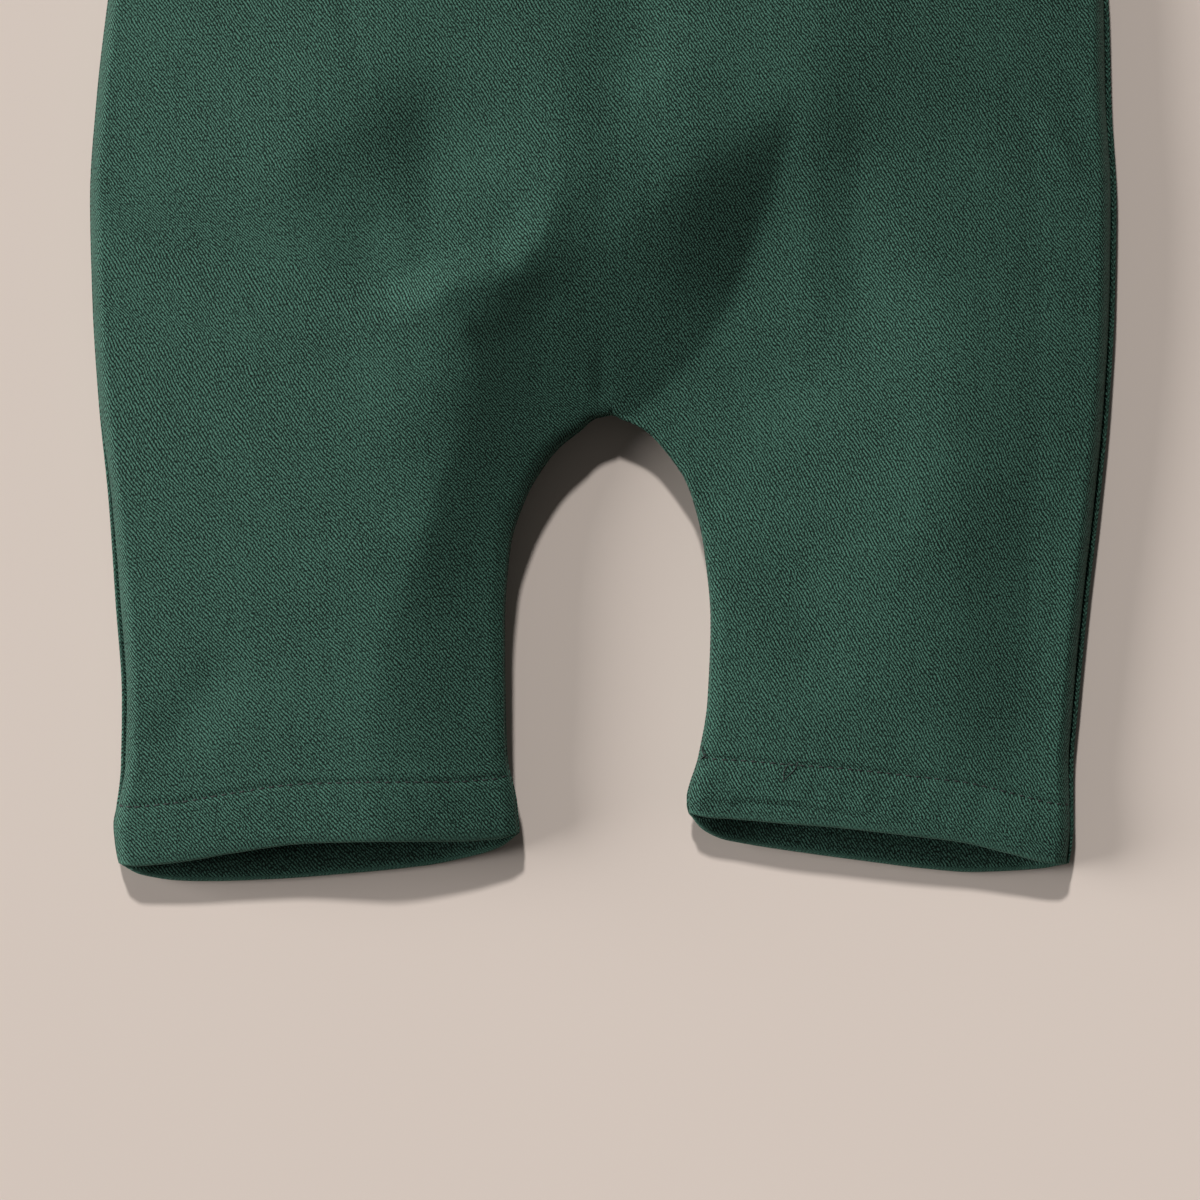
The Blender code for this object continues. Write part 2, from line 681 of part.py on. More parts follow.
def cutters():
    found = bpy.data.collections.get("cutters")
    if found is None:
        found = bpy.data.collections.new("cutters")
        bpy.context.scene.collection.children.link(found)
    return found


def main():
    for old in list(bpy.data.objects):
        bpy.data.objects.remove(old)
    overalls = bpy.data.collections.new("overalls")
    bpy.context.scene.collection.children.link(overalls)
    twill = cloth_material("green_twill", GREEN, 0.85)
    shell = cloth_material("button_green", BUTTON_GREEN, 0.35)
    panel("front", FRONT_ACROSS, FRONT_ROWS, overalls, twill)
    panel("back", BACK_ACROSS, BACK_ROWS, overalls, twill)
    for side, out in (("left", -1), ("right", 1)):
        strap(f"strap_{side}", out, overalls, twill)
        button(f"button_{side}", out, overalls, shell)


CENTRE = footprint_centre()
main()
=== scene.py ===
"""The look of the short-legged baby overalls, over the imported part, and the photograph's camera and lights.

Lengths in the tables are millimetres in garment coordinates, as in the part: x to the viewer's right, y from
the crotch towards the straps, z up from the surface that the garment lies on. place() turns them into metres
in the part's own frame.
"""

import math
from typing import NamedTuple

import bpy
import numpy as np
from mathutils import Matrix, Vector


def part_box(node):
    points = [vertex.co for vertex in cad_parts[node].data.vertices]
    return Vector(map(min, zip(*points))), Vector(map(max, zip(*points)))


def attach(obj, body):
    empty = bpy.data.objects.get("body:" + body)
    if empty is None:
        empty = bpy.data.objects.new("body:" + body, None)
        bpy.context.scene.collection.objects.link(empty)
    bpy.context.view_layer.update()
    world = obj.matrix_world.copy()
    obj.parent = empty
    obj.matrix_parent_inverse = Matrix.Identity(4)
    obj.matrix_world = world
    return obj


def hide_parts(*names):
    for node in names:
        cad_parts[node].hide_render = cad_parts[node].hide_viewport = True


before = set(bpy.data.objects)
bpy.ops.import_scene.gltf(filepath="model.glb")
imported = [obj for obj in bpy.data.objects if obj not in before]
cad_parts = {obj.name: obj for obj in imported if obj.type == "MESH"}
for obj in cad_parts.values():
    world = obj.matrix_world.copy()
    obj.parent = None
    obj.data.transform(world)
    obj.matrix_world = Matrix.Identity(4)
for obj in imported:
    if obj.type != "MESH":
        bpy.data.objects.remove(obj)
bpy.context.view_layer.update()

# ---------------------------------------------------------------- the part's sizes and outline, repeated

WALL = 1.2  # one layer of the twill, with its nap
HEM_WALL = 2.2  # two layers, where an edge is turned in and sewn down
HEM_DEPTH = 15.0  # from a leg's edge up to its line of stitching
EDGE_HEM = 6.5  # the turned edge round the bib and the armholes
HEM_GROOVE = 0.45  # how deep the hem's stitching pulls the cloth in
UNDERARM_Y = 165.0  # top of the side seams
STRAP_WIDTH = 25.0
BUTTON_THICK = 2.8
GAP = 0.3  # between pieces that touch
OUT = {"left": -1, "right": 1}  # the two sides, and which way is out from the middle


class Top(NamedTuple):
    """The top edge of a panel: its level and half its width."""

    y: float
    half: float


TOPS = {"front": Top(240.0, 66.0), "back": Top(228.0, 71.0)}


class Side(NamedTuple):
    """One level of the outline's outer sides. show is how far the back's edge stands out past the front's."""

    y: float
    left: float
    right: float
    seam_z: float
    left_show: float
    right_show: float


SIDES = [
    Side(-116, -126.2, 119.9, 5, 0, 0.6),
    Side(-107, -127.4, 121, 5, 0, 0.8),
    Side(-100, -126.4, 120.9, 4.6, 0.2, 0.8),
    Side(-92, -125.5, 120.9, 4.4, 0.8, 1),
    Side(-74, -125.2, 122.3, 4.4, 1, 1.2),
    Side(-48, -126.9, 124.8, 4.4, 1, 1.2),
    Side(-22, -128.7, 127.8, 4.4, 0.6, 1.2),
    Side(4, -131.3, 130.3, 4.4, 0, 1.2),
    Side(30, -132.9, 131.7, 4.4, 0, 1.2),
    Side(56, -133.5, 132.1, 4.4, 0, 1.2),
    Side(82, -131.8, 130.7, 4.4, 0, 1.2),
    Side(108, -128.8, 130, 4.4, 0, 1),
    Side(138, -124.6, 126, 4.6, 0, 0.6),
    Side(UNDERARM_Y, -121, 121, 5.2, 0, 0),
]


class Arch(NamedTuple):
    """One level of the inseams, below the crotch."""

    y: float
    left: float
    right: float
    seam_z: float


# The inseam's plan is the part's. Its heights, and the relief of the front below, are this script's own.
CROTCH = (1.4, 0.0, 9.5)
INNER_CORNERS = {"left": (-22.7, -108.0, 7.4), "right": (21.7, -103.0, 7.4)}
ARCH = [
    Arch(-1, -3, 5.6, 9.5),
    Arch(-3.6, -6.1, 10.6, 9.6),
    Arch(-8.8, -12.4, 15.6, 9.9),
    Arch(-15.3, -17.3, 19.7, 10.3),
    Arch(-21.8, -20.8, 22.4, 10.6),
    Arch(-34.8, -24.8, 25.4, 10.9),
    Arch(-54, -26.2, 27.1, 11),
    Arch(-74, -26.1, 26.4, 10.5),
    Arch(-88, -25.7, 24.2, 9.6),
    Arch(-100, -23.4, 21.2, 8.2),
]


class Level(NamedTuple):
    """Height of the front over the middle of a leg or of the trunk."""

    y: float
    loft: float


LEVELS = [
    Level(-118, 16.2),
    Level(-100, 17.6),
    Level(-60, 20.5),
    Level(-10, 23.5),
    Level(40, 25.5),
    Level(90, 24),
    Level(130, 20),
    Level(160, 15),
    Level(182, 10.6),
    Level(203, 7.6),
    Level(220, 6.7),
    Level(240, 6.5),
]


class HemBow(NamedTuple):
    """How far a leg's hem bows from the straight line between its two corners: front up, back down."""

    across: float
    front_left: float
    back_left: float
    front_right: float
    back_right: float


HEM_BOWS = [
    HemBow(0.00, 0.0, 0.0, 0.0, 0.0),
    HemBow(0.05, -0.8, -2.6, -0.2, -1.2),
    HemBow(0.15, -0.5, -5.1, 0.9, -3.3),
    HemBow(0.30, 0.9, -6.3, 2.3, -5.4),
    HemBow(0.45, 1.9, -6.7, 2.1, -5.8),
    HemBow(0.60, 1.3, -6.6, 1.8, -5.8),
    HemBow(0.75, 0.2, -6.2, 1.0, -5.7),
    HemBow(0.90, -0.8, -4.2, 0.3, -5.0),
    HemBow(0.96, -0.8, -2.4, -0.2, -3.2),
    HemBow(1.00, 0.0, 0.0, 0.0, 0.0),
]
BOW_REACH = 70.0  # above the hem's stitching, where the bow has died away
ARMHOLE_Z = 5.0
TOP_CORNER_Z = 5.3


class Fold(NamedTuple):
    """A soft ridge (height above 0) or trough along a bent line. near and far are its half widths on the
    line's left and right hand. grow and fade are the shares of its length over which it rises and dies away.
    round is for a pressed one, which has straight slopes: how far its crest or bottom is rounded."""

    start: tuple
    bend: tuple
    end: tuple
    height: float
    near: float
    far: float
    grow: float
    fade: float
    round: float = 0.0


FRONT_FOLDS = [
    # tail of the dent over the left thigh
    Fold((-60, 56), (-60, 40), (-63, 26), -1.2, 7, 8, 0.3, 0.5),
    # broad ribs up the middle of the trunk
    Fold((-14, 104), (-12, 74), (-12, 46), 1.8, 11, 22, 0.4, 0.3),
    Fold((10, 98), (24, 80), (24, 56), 1.2, 13, 13, 0.4, 0.4),
    Fold((8, 124), (7, 98), (5, 78), -1.8, 11, 12, 0.3, 0.4),
    # a dent across the left leg's outer side and a drag line over its middle
    Fold((-94, -58), (-104, -74), (-116, -89), -1.1, 8, 6, 0.35, 0.25),
    Fold((-82, -39), (-56, -35), (-34, -24), 0.7, 5, 9, 0.4, 0.3),
    # the right leg's middle and outer side
    Fold((48, -26), (50, -52), (60, -78), -1.4, 12, 12, 0.4, 0.4),
    # across the waist, where the trunk flattens towards the bib
    Fold((-96, 150), (-50, 140), (-6, 146), -1.8, 8, 8, 0.3, 0.4),
    Fold((18, 160), (58, 150), (100, 158), -1.8, 8, 8, 0.4, 0.3),
]


PRESSED = [
    # the crest that bounds the hollow, in two parts, and the shoulder below its pinched end
    Fold((-56, 19), (-41, 39), (-13, 34), 4.6, 8, 15, 0.45, 0.3, 0.8),
    Fold((-28, 36), (-14, 38), (-11.5, 66), 2.8, 8, 12, 0.35, 0.5, 0.8),
    Fold((-40.5, 40), (-35, 14), (-26, -14), 3.8, 17, 28, 0.25, 0.45, 1),
    # the steep band above the hollow's lowest line, and the drag line out over the right leg
    Fold((46, 76), (38, 40), (26, 6), -2.8, 40, 18, 0.45, 0.4, 1.5),
    Fold((20, 8), (40, 9), (68, 3), -2, 13, 11, 0.35, 0.5, 1.5),
    # the dent over the left thigh, and its sharp upper edge
    Fold((-45, 92), (-46, 58), (-48, 22), -5.4, 36, 34, 0.42, 0.5, 0.8),
    Fold((-94, 48), (-80, 76), (-42, 77), 1.8, 30, 13, 0.45, 0.35, 1.5),
    # down the right thigh, and the right leg's outer side
    Fold((64, 98), (66.5, 46), (65, 0), -3.6, 60, 12, 0.35, 0.4, 1.5),
    Fold((110, 4), (109, -50), (104, -110), -1.7, 14, 15, 0.45, 0.3, 3),
]


class Hollow(NamedTuple):
    """A dip that the front sinks into: its lowest line in plan, the heights at that line's start, bend and
    end, and how steeply the cloth climbs away from it on the line's left and right hand."""

    start: tuple
    bend: tuple
    end: tuple
    heights: tuple
    near: float
    far: float


# over the crotch: two planes that meet along a line from the right hip down to the crotch seam
HOLLOW = Hollow((49.0, 84.0), (38.0, 14.0), (0.0, -4.0), (26.0, 4.0, 10.6), 0.11, 0.35)
HOLLOW_BLEND = 2.0  # how softly the front turns down into the hollow
HOLLOW_TURN = 0.8  # on the scale of beside(), where the near slope has turned into the far one
SLOPE_BLEND = 0.02  # how softly a pressed slope runs out
FOLD_CLEAR = 9.0  # a fold dies away within this distance of a seam
CREASE_CLEAR = 3.0
SEAM_CLEAR = 7.0  # a doubled wall is single again within this distance of a seam

# slight creases, on the front and on the underside of the back
FRONT_CREASES = [
    # the pinched end of the ridge, and the pucker up from the crotch
    Fold((-42, 31), (-37, 30), (-31, 24), -0.9, 3, 5, 0.45, 0.5),
    Fold((-1.6, 1.5), (-1.8, 10), (-0.4, 24), -0.6, 1.8, 2.4, 0.2, 0.7),
    # pressed creases down from the waist
    Fold((-69, 112), (-65, 98), (-60.5, 80), -0.5, 1.8, 1.8, 0.3, 0.5),
    Fold((-9, 84), (-8.5, 60), (-8, 30), -0.14, 2.6, 2.6, 0.3, 0.4),
    Fold((11.5, 78), (11, 62), (12, 42), -0.14, 2.4, 2.4, 0.3, 0.4),
    # drag lines over the left leg
    Fold((-88, -34), (-62, -33), (-38, -36), -0.2, 3.5, 2.5, 0.3, 0.4),
    Fold((-84, -46), (-60, -46), (-40, -50), 0.18, 3, 3, 0.3, 0.4),
    Fold((-62, -11), (-50, -12), (-36, -13), -0.3, 2.5, 2.5, 0.3, 0.4),
    # pressed lines along the right edge
    Fold((109, 84), (114, 20), (108, -84), -0.18, 3, 3.5, 0.2, 0.2),
    Fold((110.5, 80), (116, 70), (124, 58), 0.7, 3, 3, 0.3, 0.4),
    Fold((22, -16), (26, -22), (31, -28), -0.5, 3, 3, 0.3, 0.5),
    # over the bib
    Fold((-46, 178), (-20, 184), (12, 180), -0.5, 3.5, 5, 0.3, 0.4),
    Fold((30, 206), (34, 192), (44, 176), 0.5, 4, 5, 0.3, 0.4),
    Fold((-6, 226), (-2, 212), (-6, 196), 0.35, 4, 4, 0.3, 0.4),
]
BACK_CREASES = [
    Fold((-60, -60), (-40, 0), (-48, 60), 0.8, 5, 8, 0.3, 0.4),
    Fold((52, -70), (62, -20), (50, 40), 0.7, 6, 6, 0.3, 0.4),
    Fold((-20, 18), (0, 26), (24, 16), 0.9, 6, 7, 0.4, 0.4),
    Fold((-84, 96), (-30, 88), (10, 100), 0.7, 6, 5, 0.3, 0.4),
    Fold((24, 134), (54, 124), (92, 130), 0.6, 5, 6, 0.4, 0.3),
    Fold((-8, 196), (-2, 170), (-12, 146), 0.6, 5, 5, 0.3, 0.4),
]


class Rise(NamedTuple):
    """How the front climbs from a seam: a share of the climb, done within a reach, along a curve."""

    share: float
    reach: float
    power: float


SIDE_RISE = [Rise(0.3, 3.5, 2.0), Rise(0.7, 78.0, 1.2)]
INSEAM_ROUND = Rise(0.16, 4.0, 2.0)
INSEAM_POWER = 1.1  # of the rest of the climb from the inseam, within the reach below


class Reach(NamedTuple):
    """How far from each inseam the front's straight slope goes, by level."""

    y: float
    left: float
    right: float


INSEAM_REACH = [
    Reach(-118, 36, 72),
    Reach(-90, 35, 70),
    Reach(-62, 31, 66),
    Reach(-29, 22, 58),
    Reach(-12, 22, 42),
    Reach(0, 22, 27),
    Reach(13, 27, 28),
    Reach(33, 46, 46),
    Reach(62, 60, 60),
    Reach(240, 60, 60),
]
SIDES_BLEND = 26.0  # over which the left reach turns into the right one, above the crotch
PRESSED_CLEAR = 40.0  # pressed creases run out over this distance from the inseam
RISE_BLEND = 0.07  # how softly a climb ends
BACK_SIDE_REACH = 13.0  # from a seam, where the back has come down onto the surface
BACK_INSEAM_REACH = 26.0
BACK_SETTLE = 18.0  # above the underarm, where it lies on the surface up to its edges
LINE_POINTS = 60  # along a seam or an armhole
CHAIN_STEP = 3.0  # between the points of a line that distances are measured from
WAIST_Y = 153.0  # the middle of the row that starts at the underarm
JOIN_Y = 25.0  # where the row that ends at the crotch meets the side seam

# ---------------------------------------------------------------- sizes that only the look has

HEM_SWELL = 0.35  # how far the turned band stands out between its fold and its stitching
FOLD_ROUND = 1.6  # over which a turned edge rounds off
PUCKER_PITCH = 7.8  # of the pulls along the side seams
PUCKER_REACH = 3.2
PUCKER_HEIGHT = 0.22
STITCH_PITCH = 2.5
STITCH_GAP = 0.6
STITCH_RADIUS = 0.27
STITCH_SINK = 0.8  # how far a stitch's ends dip into the cloth, as a share of its radius
STITCH_WOBBLE = 0.06
STITCH_SIDES = 6
STITCH_RINGS = 5
TOPSTITCH_IN = 6.0  # from a turned edge to its line of stitching
STRAP_STITCH_IN = 2.6
RIM_RINGS = 5  # round the edge of a sheet
REVERSE_PAINTED_SHADE = 0.75  # painted shade: how much darker the inner faces are painted, on the scale of the edges' painted highlight, standing in for the shade inside the garment

CENTRE = (
    (min(row.left for row in SIDES) + max(row.right for row in SIDES)) / 2,
    TOPS["front"].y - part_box("front")[1].y * 1000,
)


def place(points):
    """Garment coordinates in millimetres to the part's own frame in metres."""
    return (np.asarray(points, float) - (*CENTRE, 0.0)) / 1000


# ---------------------------------------------------------------- curves and tables, as in the part


def column(table, name):
    return np.array([getattr(row, name) for row in table], float)


def through(knots, values, at):
    """Value at each `at` of a smooth curve through a table's rows, which never swings past them."""
    knots, values, at = (np.asarray(a, float) for a in (knots, values, at))
    steps = np.diff(values) / np.diff(knots)
    before, after = steps[:-1], steps[1:]
    turning = before * after <= 0
    shared = 2 * before * after / np.where(turning, 1.0, before + after)
    slopes = np.concatenate([steps[:1], np.where(turning, 0.0, shared), steps[-1:]])
    i = np.clip(np.searchsorted(knots, at) - 1, 0, len(knots) - 2)
    gap = knots[i + 1] - knots[i]
    t = np.clip((at - knots[i]) / gap, 0, 1)
    a, b = values[i], values[i + 1]
    bulge = t * (1 - t) * ((1 - t) * (slopes[i] * gap - (b - a)) - t * (slopes[i + 1] * gap - (b - a)))
    return a + (b - a) * t + bulge


def lengths(points):
    steps = np.linalg.norm(np.diff(points, axis=0), axis=1)
    return np.concatenate([[0.0], np.cumsum(steps)])


def along(points, distances):
    """Points at these distances along a smooth curve through the given ones."""
    at = lengths(points[:, :2])
    return np.stack([through(at, points[:, k], distances) for k in range(points.shape[1])], axis=1)


def bent(a, b, c, t):
    """A curve from a to c that bends towards b, at the shares t."""
    return (1 - t) ** 2 * a + 2 * (1 - t) * t * b + t**2 * c


def bezier(a, b, c, d):
    t = np.linspace(0, 1, LINE_POINTS)[:, None]
    a, b, c, d = (np.array(p, float) for p in (a, b, c, d))
    return (1 - t) ** 3 * a + 3 * (1 - t) ** 2 * t * b + 3 * (1 - t) * t**2 * c + t**3 * d


def unit(vectors):
    return vectors / np.maximum(np.linalg.norm(vectors, axis=-1, keepdims=True), 1e-12)


def smooth_step(t):
    t = np.clip(t, 0, 1)
    return t * t * (3 - 2 * t)


def side_line(side, panel):
    y = column(SIDES, "y")
    x = column(SIDES, side)
    if panel == "front":
        x = x - OUT[side] * column(SIDES, side + "_show")
    rows = np.linspace(y[0], y[-1], LINE_POINTS)
    return np.stack([through(y, x, rows), rows, through(y, column(SIDES, "seam_z"), rows)], axis=1)


def inseam_line(side):
    between = [(getattr(row, side), row.y, row.seam_z) for row in reversed(ARCH)]
    points = np.array([INNER_CORNERS[side], *between, CROTCH])
    return along(points, np.linspace(0, lengths(points[:, :2])[-1], LINE_POINTS))


def armhole_line(side, panel):
    top = TOPS[panel]
    out = OUT[side]
    underarm = side_line(side, panel)[-1]
    leaves = (out * 101, UNDERARM_Y + 9, ARMHOLE_Z)
    arrives = (out * (top.half + 8), top.y - 42, ARMHOLE_Z)
    return bezier(underarm, leaves, arrives, (out * top.half, top.y, TOP_CORNER_Z))


def coarser(line):
    total = lengths(line[:, :2])[-1]
    return along(line, np.linspace(0, total, max(2, round(total / CHAIN_STEP))))


class Outline:
    """The edges of one panel: its side seams, inseams and armholes, and these joined up as chains."""

    def __init__(self, panel):
        self.panel = panel
        self.side = {side: side_line(side, panel) for side in OUT}
        self.inseam = {side: inseam_line(side) for side in OUT}
        self.armhole = {side: armhole_line(side, panel) for side in OUT}
        self.sides = [coarser(line) for line in self.side.values()]
        self.inseams = [coarser(line) for line in self.inseam.values()]
        self.armholes = list(self.armhole.values())


OUTLINES = {name: Outline(name) for name in ("front", "back")}
POINTS_AT_A_TIME = 4000


def nearest(points, chains):
    """For each point, its distance in plan to the nearest of some chains of points, and their third column
    there. The points are taken some at a time, to save memory."""
    starts = np.concatenate([chain[:-1] for chain in chains])
    ends = np.concatenate([chain[1:] for chain in chains])
    run = (ends - starts)[:, :2]
    apart_all, third_all = np.empty(len(points)), np.empty(len(points))
    for first in range(0, len(points), POINTS_AT_A_TIME):
        part = slice(first, first + POINTS_AT_A_TIME)
        offset = points[part, None, :2] - starts[None, :, :2]
        share = np.clip((offset * run).sum(axis=2) / (run * run).sum(axis=1), 0, 1)
        apart = np.linalg.norm(offset - share[:, :, None] * run, axis=2)
        pick = apart.argmin(axis=1)
        rows = np.arange(len(pick))
        apart_all[part] = apart[rows, pick]
        third_all[part] = starts[pick, 2] + share[rows, pick] * (ends - starts)[pick, 2]
    return apart_all, third_all


# ---------------------------------------------------------------- heights


def climb_left(distance, rises):
    """1 at a seam, falling smoothly to 0 where the last of the rises is done."""
    total = 0.0
    for rise in rises:
        left = 1 - distance / rise.reach
        soft = (left + np.sqrt(left**2 + RISE_BLEND**2)) / 2
        total = total + rise.share * np.minimum(soft, 1.0) ** rise.power
    return total


def beside(points, fold):
    """For points in plan: distance from a bent line, how far along it as a share, and on which side: 1 for
    its left hand, -1 for its right, and between these off its ends."""
    start, bend, end = (np.array(p) for p in (fold.start, fold.bend, fold.end))
    t = np.linspace(0, 1, 41)[:, None]
    away, share = nearest(points, [np.column_stack([bent(start, bend, end, t), t])])
    t = share[:, None]
    heading = unit((1 - t) * (bend - start) + t * (end - bend))
    offset = points[:, :2] - bent(start, bend, end, t)
    turn = heading[:, 0] * offset[:, 1] - heading[:, 1] * offset[:, 0]
    return away, share, turn / np.maximum(away, 1e-6)


def fold_place(points, fold):
    """For points in plan: distance from a fold's line, its half width on that side and its strength."""
    away, share, side = beside(points, fold)
    width = np.where(side > 0, fold.near, fold.far)
    strength = smooth_step(share / fold.grow) * smooth_step((1 - share) / fold.fade)
    return away, width, strength


def soft_folds(points, table):
    total = 0.0
    for fold in table:
        away, width, strength = fold_place(points, fold)
        total = total + fold.height * strength * np.exp(-((away / width) ** 2))
    return total


def pressed_folds(points, table):
    total = 0.0
    for fold in table:
        away, width, strength = fold_place(points, fold)
        left = 1 - (np.sqrt(away**2 + fold.round**2) - fold.round) / width
        total = total + fold.height * strength * (left + np.sqrt(left**2 + SLOPE_BLEND)) / 2
    return total


def sunk(heights, points, hollow):
    """The heights, brought down to a hollow's planes where those are lower, with a soft edge."""
    away, share, side = beside(points, hollow)
    slope = hollow.near + (hollow.far - hollow.near) * smooth_step((1 - side) / HOLLOW_TURN)
    planes = bent(*hollow.heights, share) + slope * away
    gap = (heights - planes) / HOLLOW_BLEND
    return planes + HOLLOW_BLEND * (gap - np.sqrt(gap**2 + 1) + 1) / 2


def ripple(phase, seed):
    """An uneven wave, about -1 to 1, with a period near 1."""
    turns = math.tau * phase
    return 0.6 * np.sin(turns + seed) + 0.4 * np.sin(turns * 0.618 + 2.1 * seed) * np.sin(turns * 0.27 + seed)


def seam_puckers(points, outline):
    """Small pulls along the side seams."""
    total = np.zeros(len(points))
    for number, line in enumerate(outline.sides):
        plan = line[:, :2]
        away, at = nearest(points, [np.column_stack([plan, lengths(plan)])])
        pull = ripple(at / PUCKER_PITCH, 1.3 + number) * np.exp(-((away / PUCKER_REACH) ** 2))
        total += PUCKER_HEIGHT * pull * smooth_step(away / WALL)
    return total


def front_heights(points):
    """Height of the front's outer face at points in plan."""
    outline = OUTLINES["front"]
    x, y = points[:, 0], points[:, 1]
    loft = through(column(LEVELS, "y"), column(LEVELS, "loft"), y)
    side_away, side_z = nearest(points, outline.sides + outline.armholes)
    inner_away, inner_z = nearest(points, outline.inseams)
    side_drop = (1 - (side_z + WALL) / loft) * climb_left(side_away, SIDE_RISE)
    left, right = (through(column(INSEAM_REACH, "y"), column(INSEAM_REACH, side), y) for side in OUT)
    reach = left + (right - left) * smooth_step(0.5 + (x - CROTCH[0]) / SIDES_BLEND)
    inner_rises = [INSEAM_ROUND, Rise(1 - INSEAM_ROUND.share, reach, INSEAM_POWER)]
    inner_drop = (1 - (inner_z + WALL) / loft) * climb_left(inner_away, inner_rises)
    base = sunk(loft * (1 - side_drop) * (1 - inner_drop), points, HOLLOW)
    seam_away = np.minimum(side_away, inner_away)
    pressed = pressed_folds(points, PRESSED)
    pressed = pressed * smooth_step(inner_away / PRESSED_CLEAR) * smooth_step(side_away / FOLD_CLEAR)
    folds = soft_folds(points, FRONT_FOLDS) * smooth_step(seam_away / FOLD_CLEAR)
    creases = soft_folds(points, FRONT_CREASES) * smooth_step(seam_away / CREASE_CLEAR)
    return base + pressed + folds + creases + seam_puckers(points, outline)


def back_heights(points):
    """Height of the back's outer face, which lies on the surface but for its seams and a few creases."""
    outline = OUTLINES["back"]
    side_away, side_z = nearest(points, outline.sides)
    inner_away, inner_z = nearest(points, outline.inseams)
    side = (side_z - WALL) * np.clip(1 - side_away / BACK_SIDE_REACH, 0, 1) ** 2
    inner = (inner_z - WALL) * np.clip(1 - inner_away / BACK_INSEAM_REACH, 0, 1) ** 2
    above = smooth_step((points[:, 1] - UNDERARM_Y) / BACK_SETTLE)
    return np.maximum(side, inner) * (1 - above) + np.maximum(soft_folds(points, BACK_CREASES), 0)


# ---------------------------------------------------------------- fine rows of a panel


def spread(count, ends=0.6):
    """Shares from 0 to 1, closer together near both."""
    t = np.linspace(0, 1, count)
    return t - ends * np.sin(math.tau * t) / math.tau


HEM_ROWS = np.arange(0.0, 21.1, 0.75)  # heights above a leg's edge of its lowest rows


class Rows(NamedTuple):
    """How many more rows there are up to the crotch, the underarm and the top."""

    leg: int
    trunk: int
    bib: int


FRONT_ROWS = Rows(78, 80, 36)
BACK_ROWS = Rows(46, 50, 30)
FRONT_ACROSS = spread(100)
BACK_ACROSS = spread(72)


def hem_bow(side, panel, across):
    return through(column(HEM_BOWS, "across"), column(HEM_BOWS, f"{panel}_{side}"), across)


def leg_rows(side, outline, across, count):
    """Rows of plan points from a leg's hem up to the row that starts at the crotch."""
    outer, inner = outline.side[side], outline.inseam[side]
    join = np.searchsorted(outer[:, 1], JOIN_Y)
    outer_length, inner_length = lengths(outer[: join + 1, :2])[-1], lengths(inner[:, :2])[-1]
    above_hem = np.linspace(HEM_ROWS[-1], outer_length, count + 1)[1:]
    outer_at = np.concatenate([HEM_ROWS, above_hem])
    stretch = (inner_length - HEM_ROWS[-1]) / (outer_length - HEM_ROWS[-1])
    above = outer_at - HEM_ROWS[-1]
    inner_at = np.where(above > 0, HEM_ROWS[-1] + above * stretch, outer_at)
    starts, ends = along(outer, outer_at)[:, :2], along(inner, inner_at)[:, :2]
    bow = hem_bow(side, outline.panel, across)
    rows = []
    for start, end, height in zip(starts, ends, outer_at):
        row = start + np.outer(across, end - start)
        row[:, 1] += bow * (1 - smooth_step((height - HEM_DEPTH) / BOW_REACH))
        rows.append(row)
    return rows


def trunk_rows(side, outline, across, counts):
    """Rows of plan points from the crotch row's upper neighbour to the top edge."""
    outer, armhole = outline.side[side], outline.armhole[side]
    join = np.searchsorted(outer[:, 1], JOIN_Y)
    side_part = outer[join:]
    top = armhole[-1, 1]
    up_side = along(side_part, np.linspace(0, lengths(side_part[:, :2])[-1], counts.trunk + 1)[1:])[:, :2]
    up_arm = along(armhole, np.linspace(0, lengths(armhole[:, :2])[-1], counts.bib + 1)[1:])[:, :2]
    centre_y = [*np.linspace(0, WAIST_Y, counts.trunk + 1)[1:]]
    centre_y += [*np.linspace(WAIST_Y, top, counts.bib + 1)[1:]]
    rows = []
    for start, y in zip([*up_side, *up_arm], centre_y):
        end = np.array([CROTCH[0] * (1 - y / top), y])
        rows.append(start + np.outer(across, end - start))
    return rows


def bump_at(distance, middle, width):
    """1 at a line, and less than a half beyond a width of it."""
    return np.exp(-(((distance - middle) / width) ** 2))


def hem_relief(height, across, seed):
    """How far a leg's hem stands out, by millimetres above its edge: swell, fold, groove and small ropes."""
    swell = HEM_SWELL * np.sin(np.pi * np.clip(height / HEM_DEPTH, 0, 1)) ** 0.6
    rounding = -0.5 * (1 - smooth_step(height / FOLD_ROUND))
    groove = -HEM_GROOVE * bump_at(height, HEM_DEPTH, 0.6)
    above = 0.18 * bump_at(height, HEM_DEPTH + 2.2, 1.6)
    band = smooth_step(height / 3) * smooth_step((HEM_DEPTH + 3 - height) / 4)
    ropes = 0.1 * ripple(across * 12 + height / 26, seed) * band
    return np.where(height < NO_HEM, swell + rounding + groove + above + ropes, 0)


def top_relief(away):
    """How far the bib's turned edge stands out, by millimetres in from it: band, rounded fold, groove."""
    band = 0.25 * np.sin(np.pi * np.clip(away / EDGE_HEM, 0, 1))
    rounding = -0.35 * (1 - smooth_step(away / FOLD_ROUND))
    groove = -0.3 * bump_at(away, TOPSTITCH_IN, 0.8)
    return np.where(away < EDGE_HEM * 2, band + rounding + groove, 0)


class Grid(NamedTuple):
    """One side of a panel: outer points, wall, the weave's coordinates, and a painted highlight that makes
    the cloth paler along its turned edges.
    """

    points: np.ndarray
    wall: np.ndarray
    weave: np.ndarray
    painted_light: np.ndarray


NO_HEM = 99.0  # stands for a height above the hem where there is none
ROPE_SEED = {"left": 1.0, "right": 2.6}

# how the weave's lines turn from the trunk into each leg, in degrees, between these levels
LEG_TURN = {"left": 8.0, "right": -4.0}
LEG_TURN_TOP = 22.0
LEG_TURN_SPAN = 55.0
LEG_PIVOT = 76.0


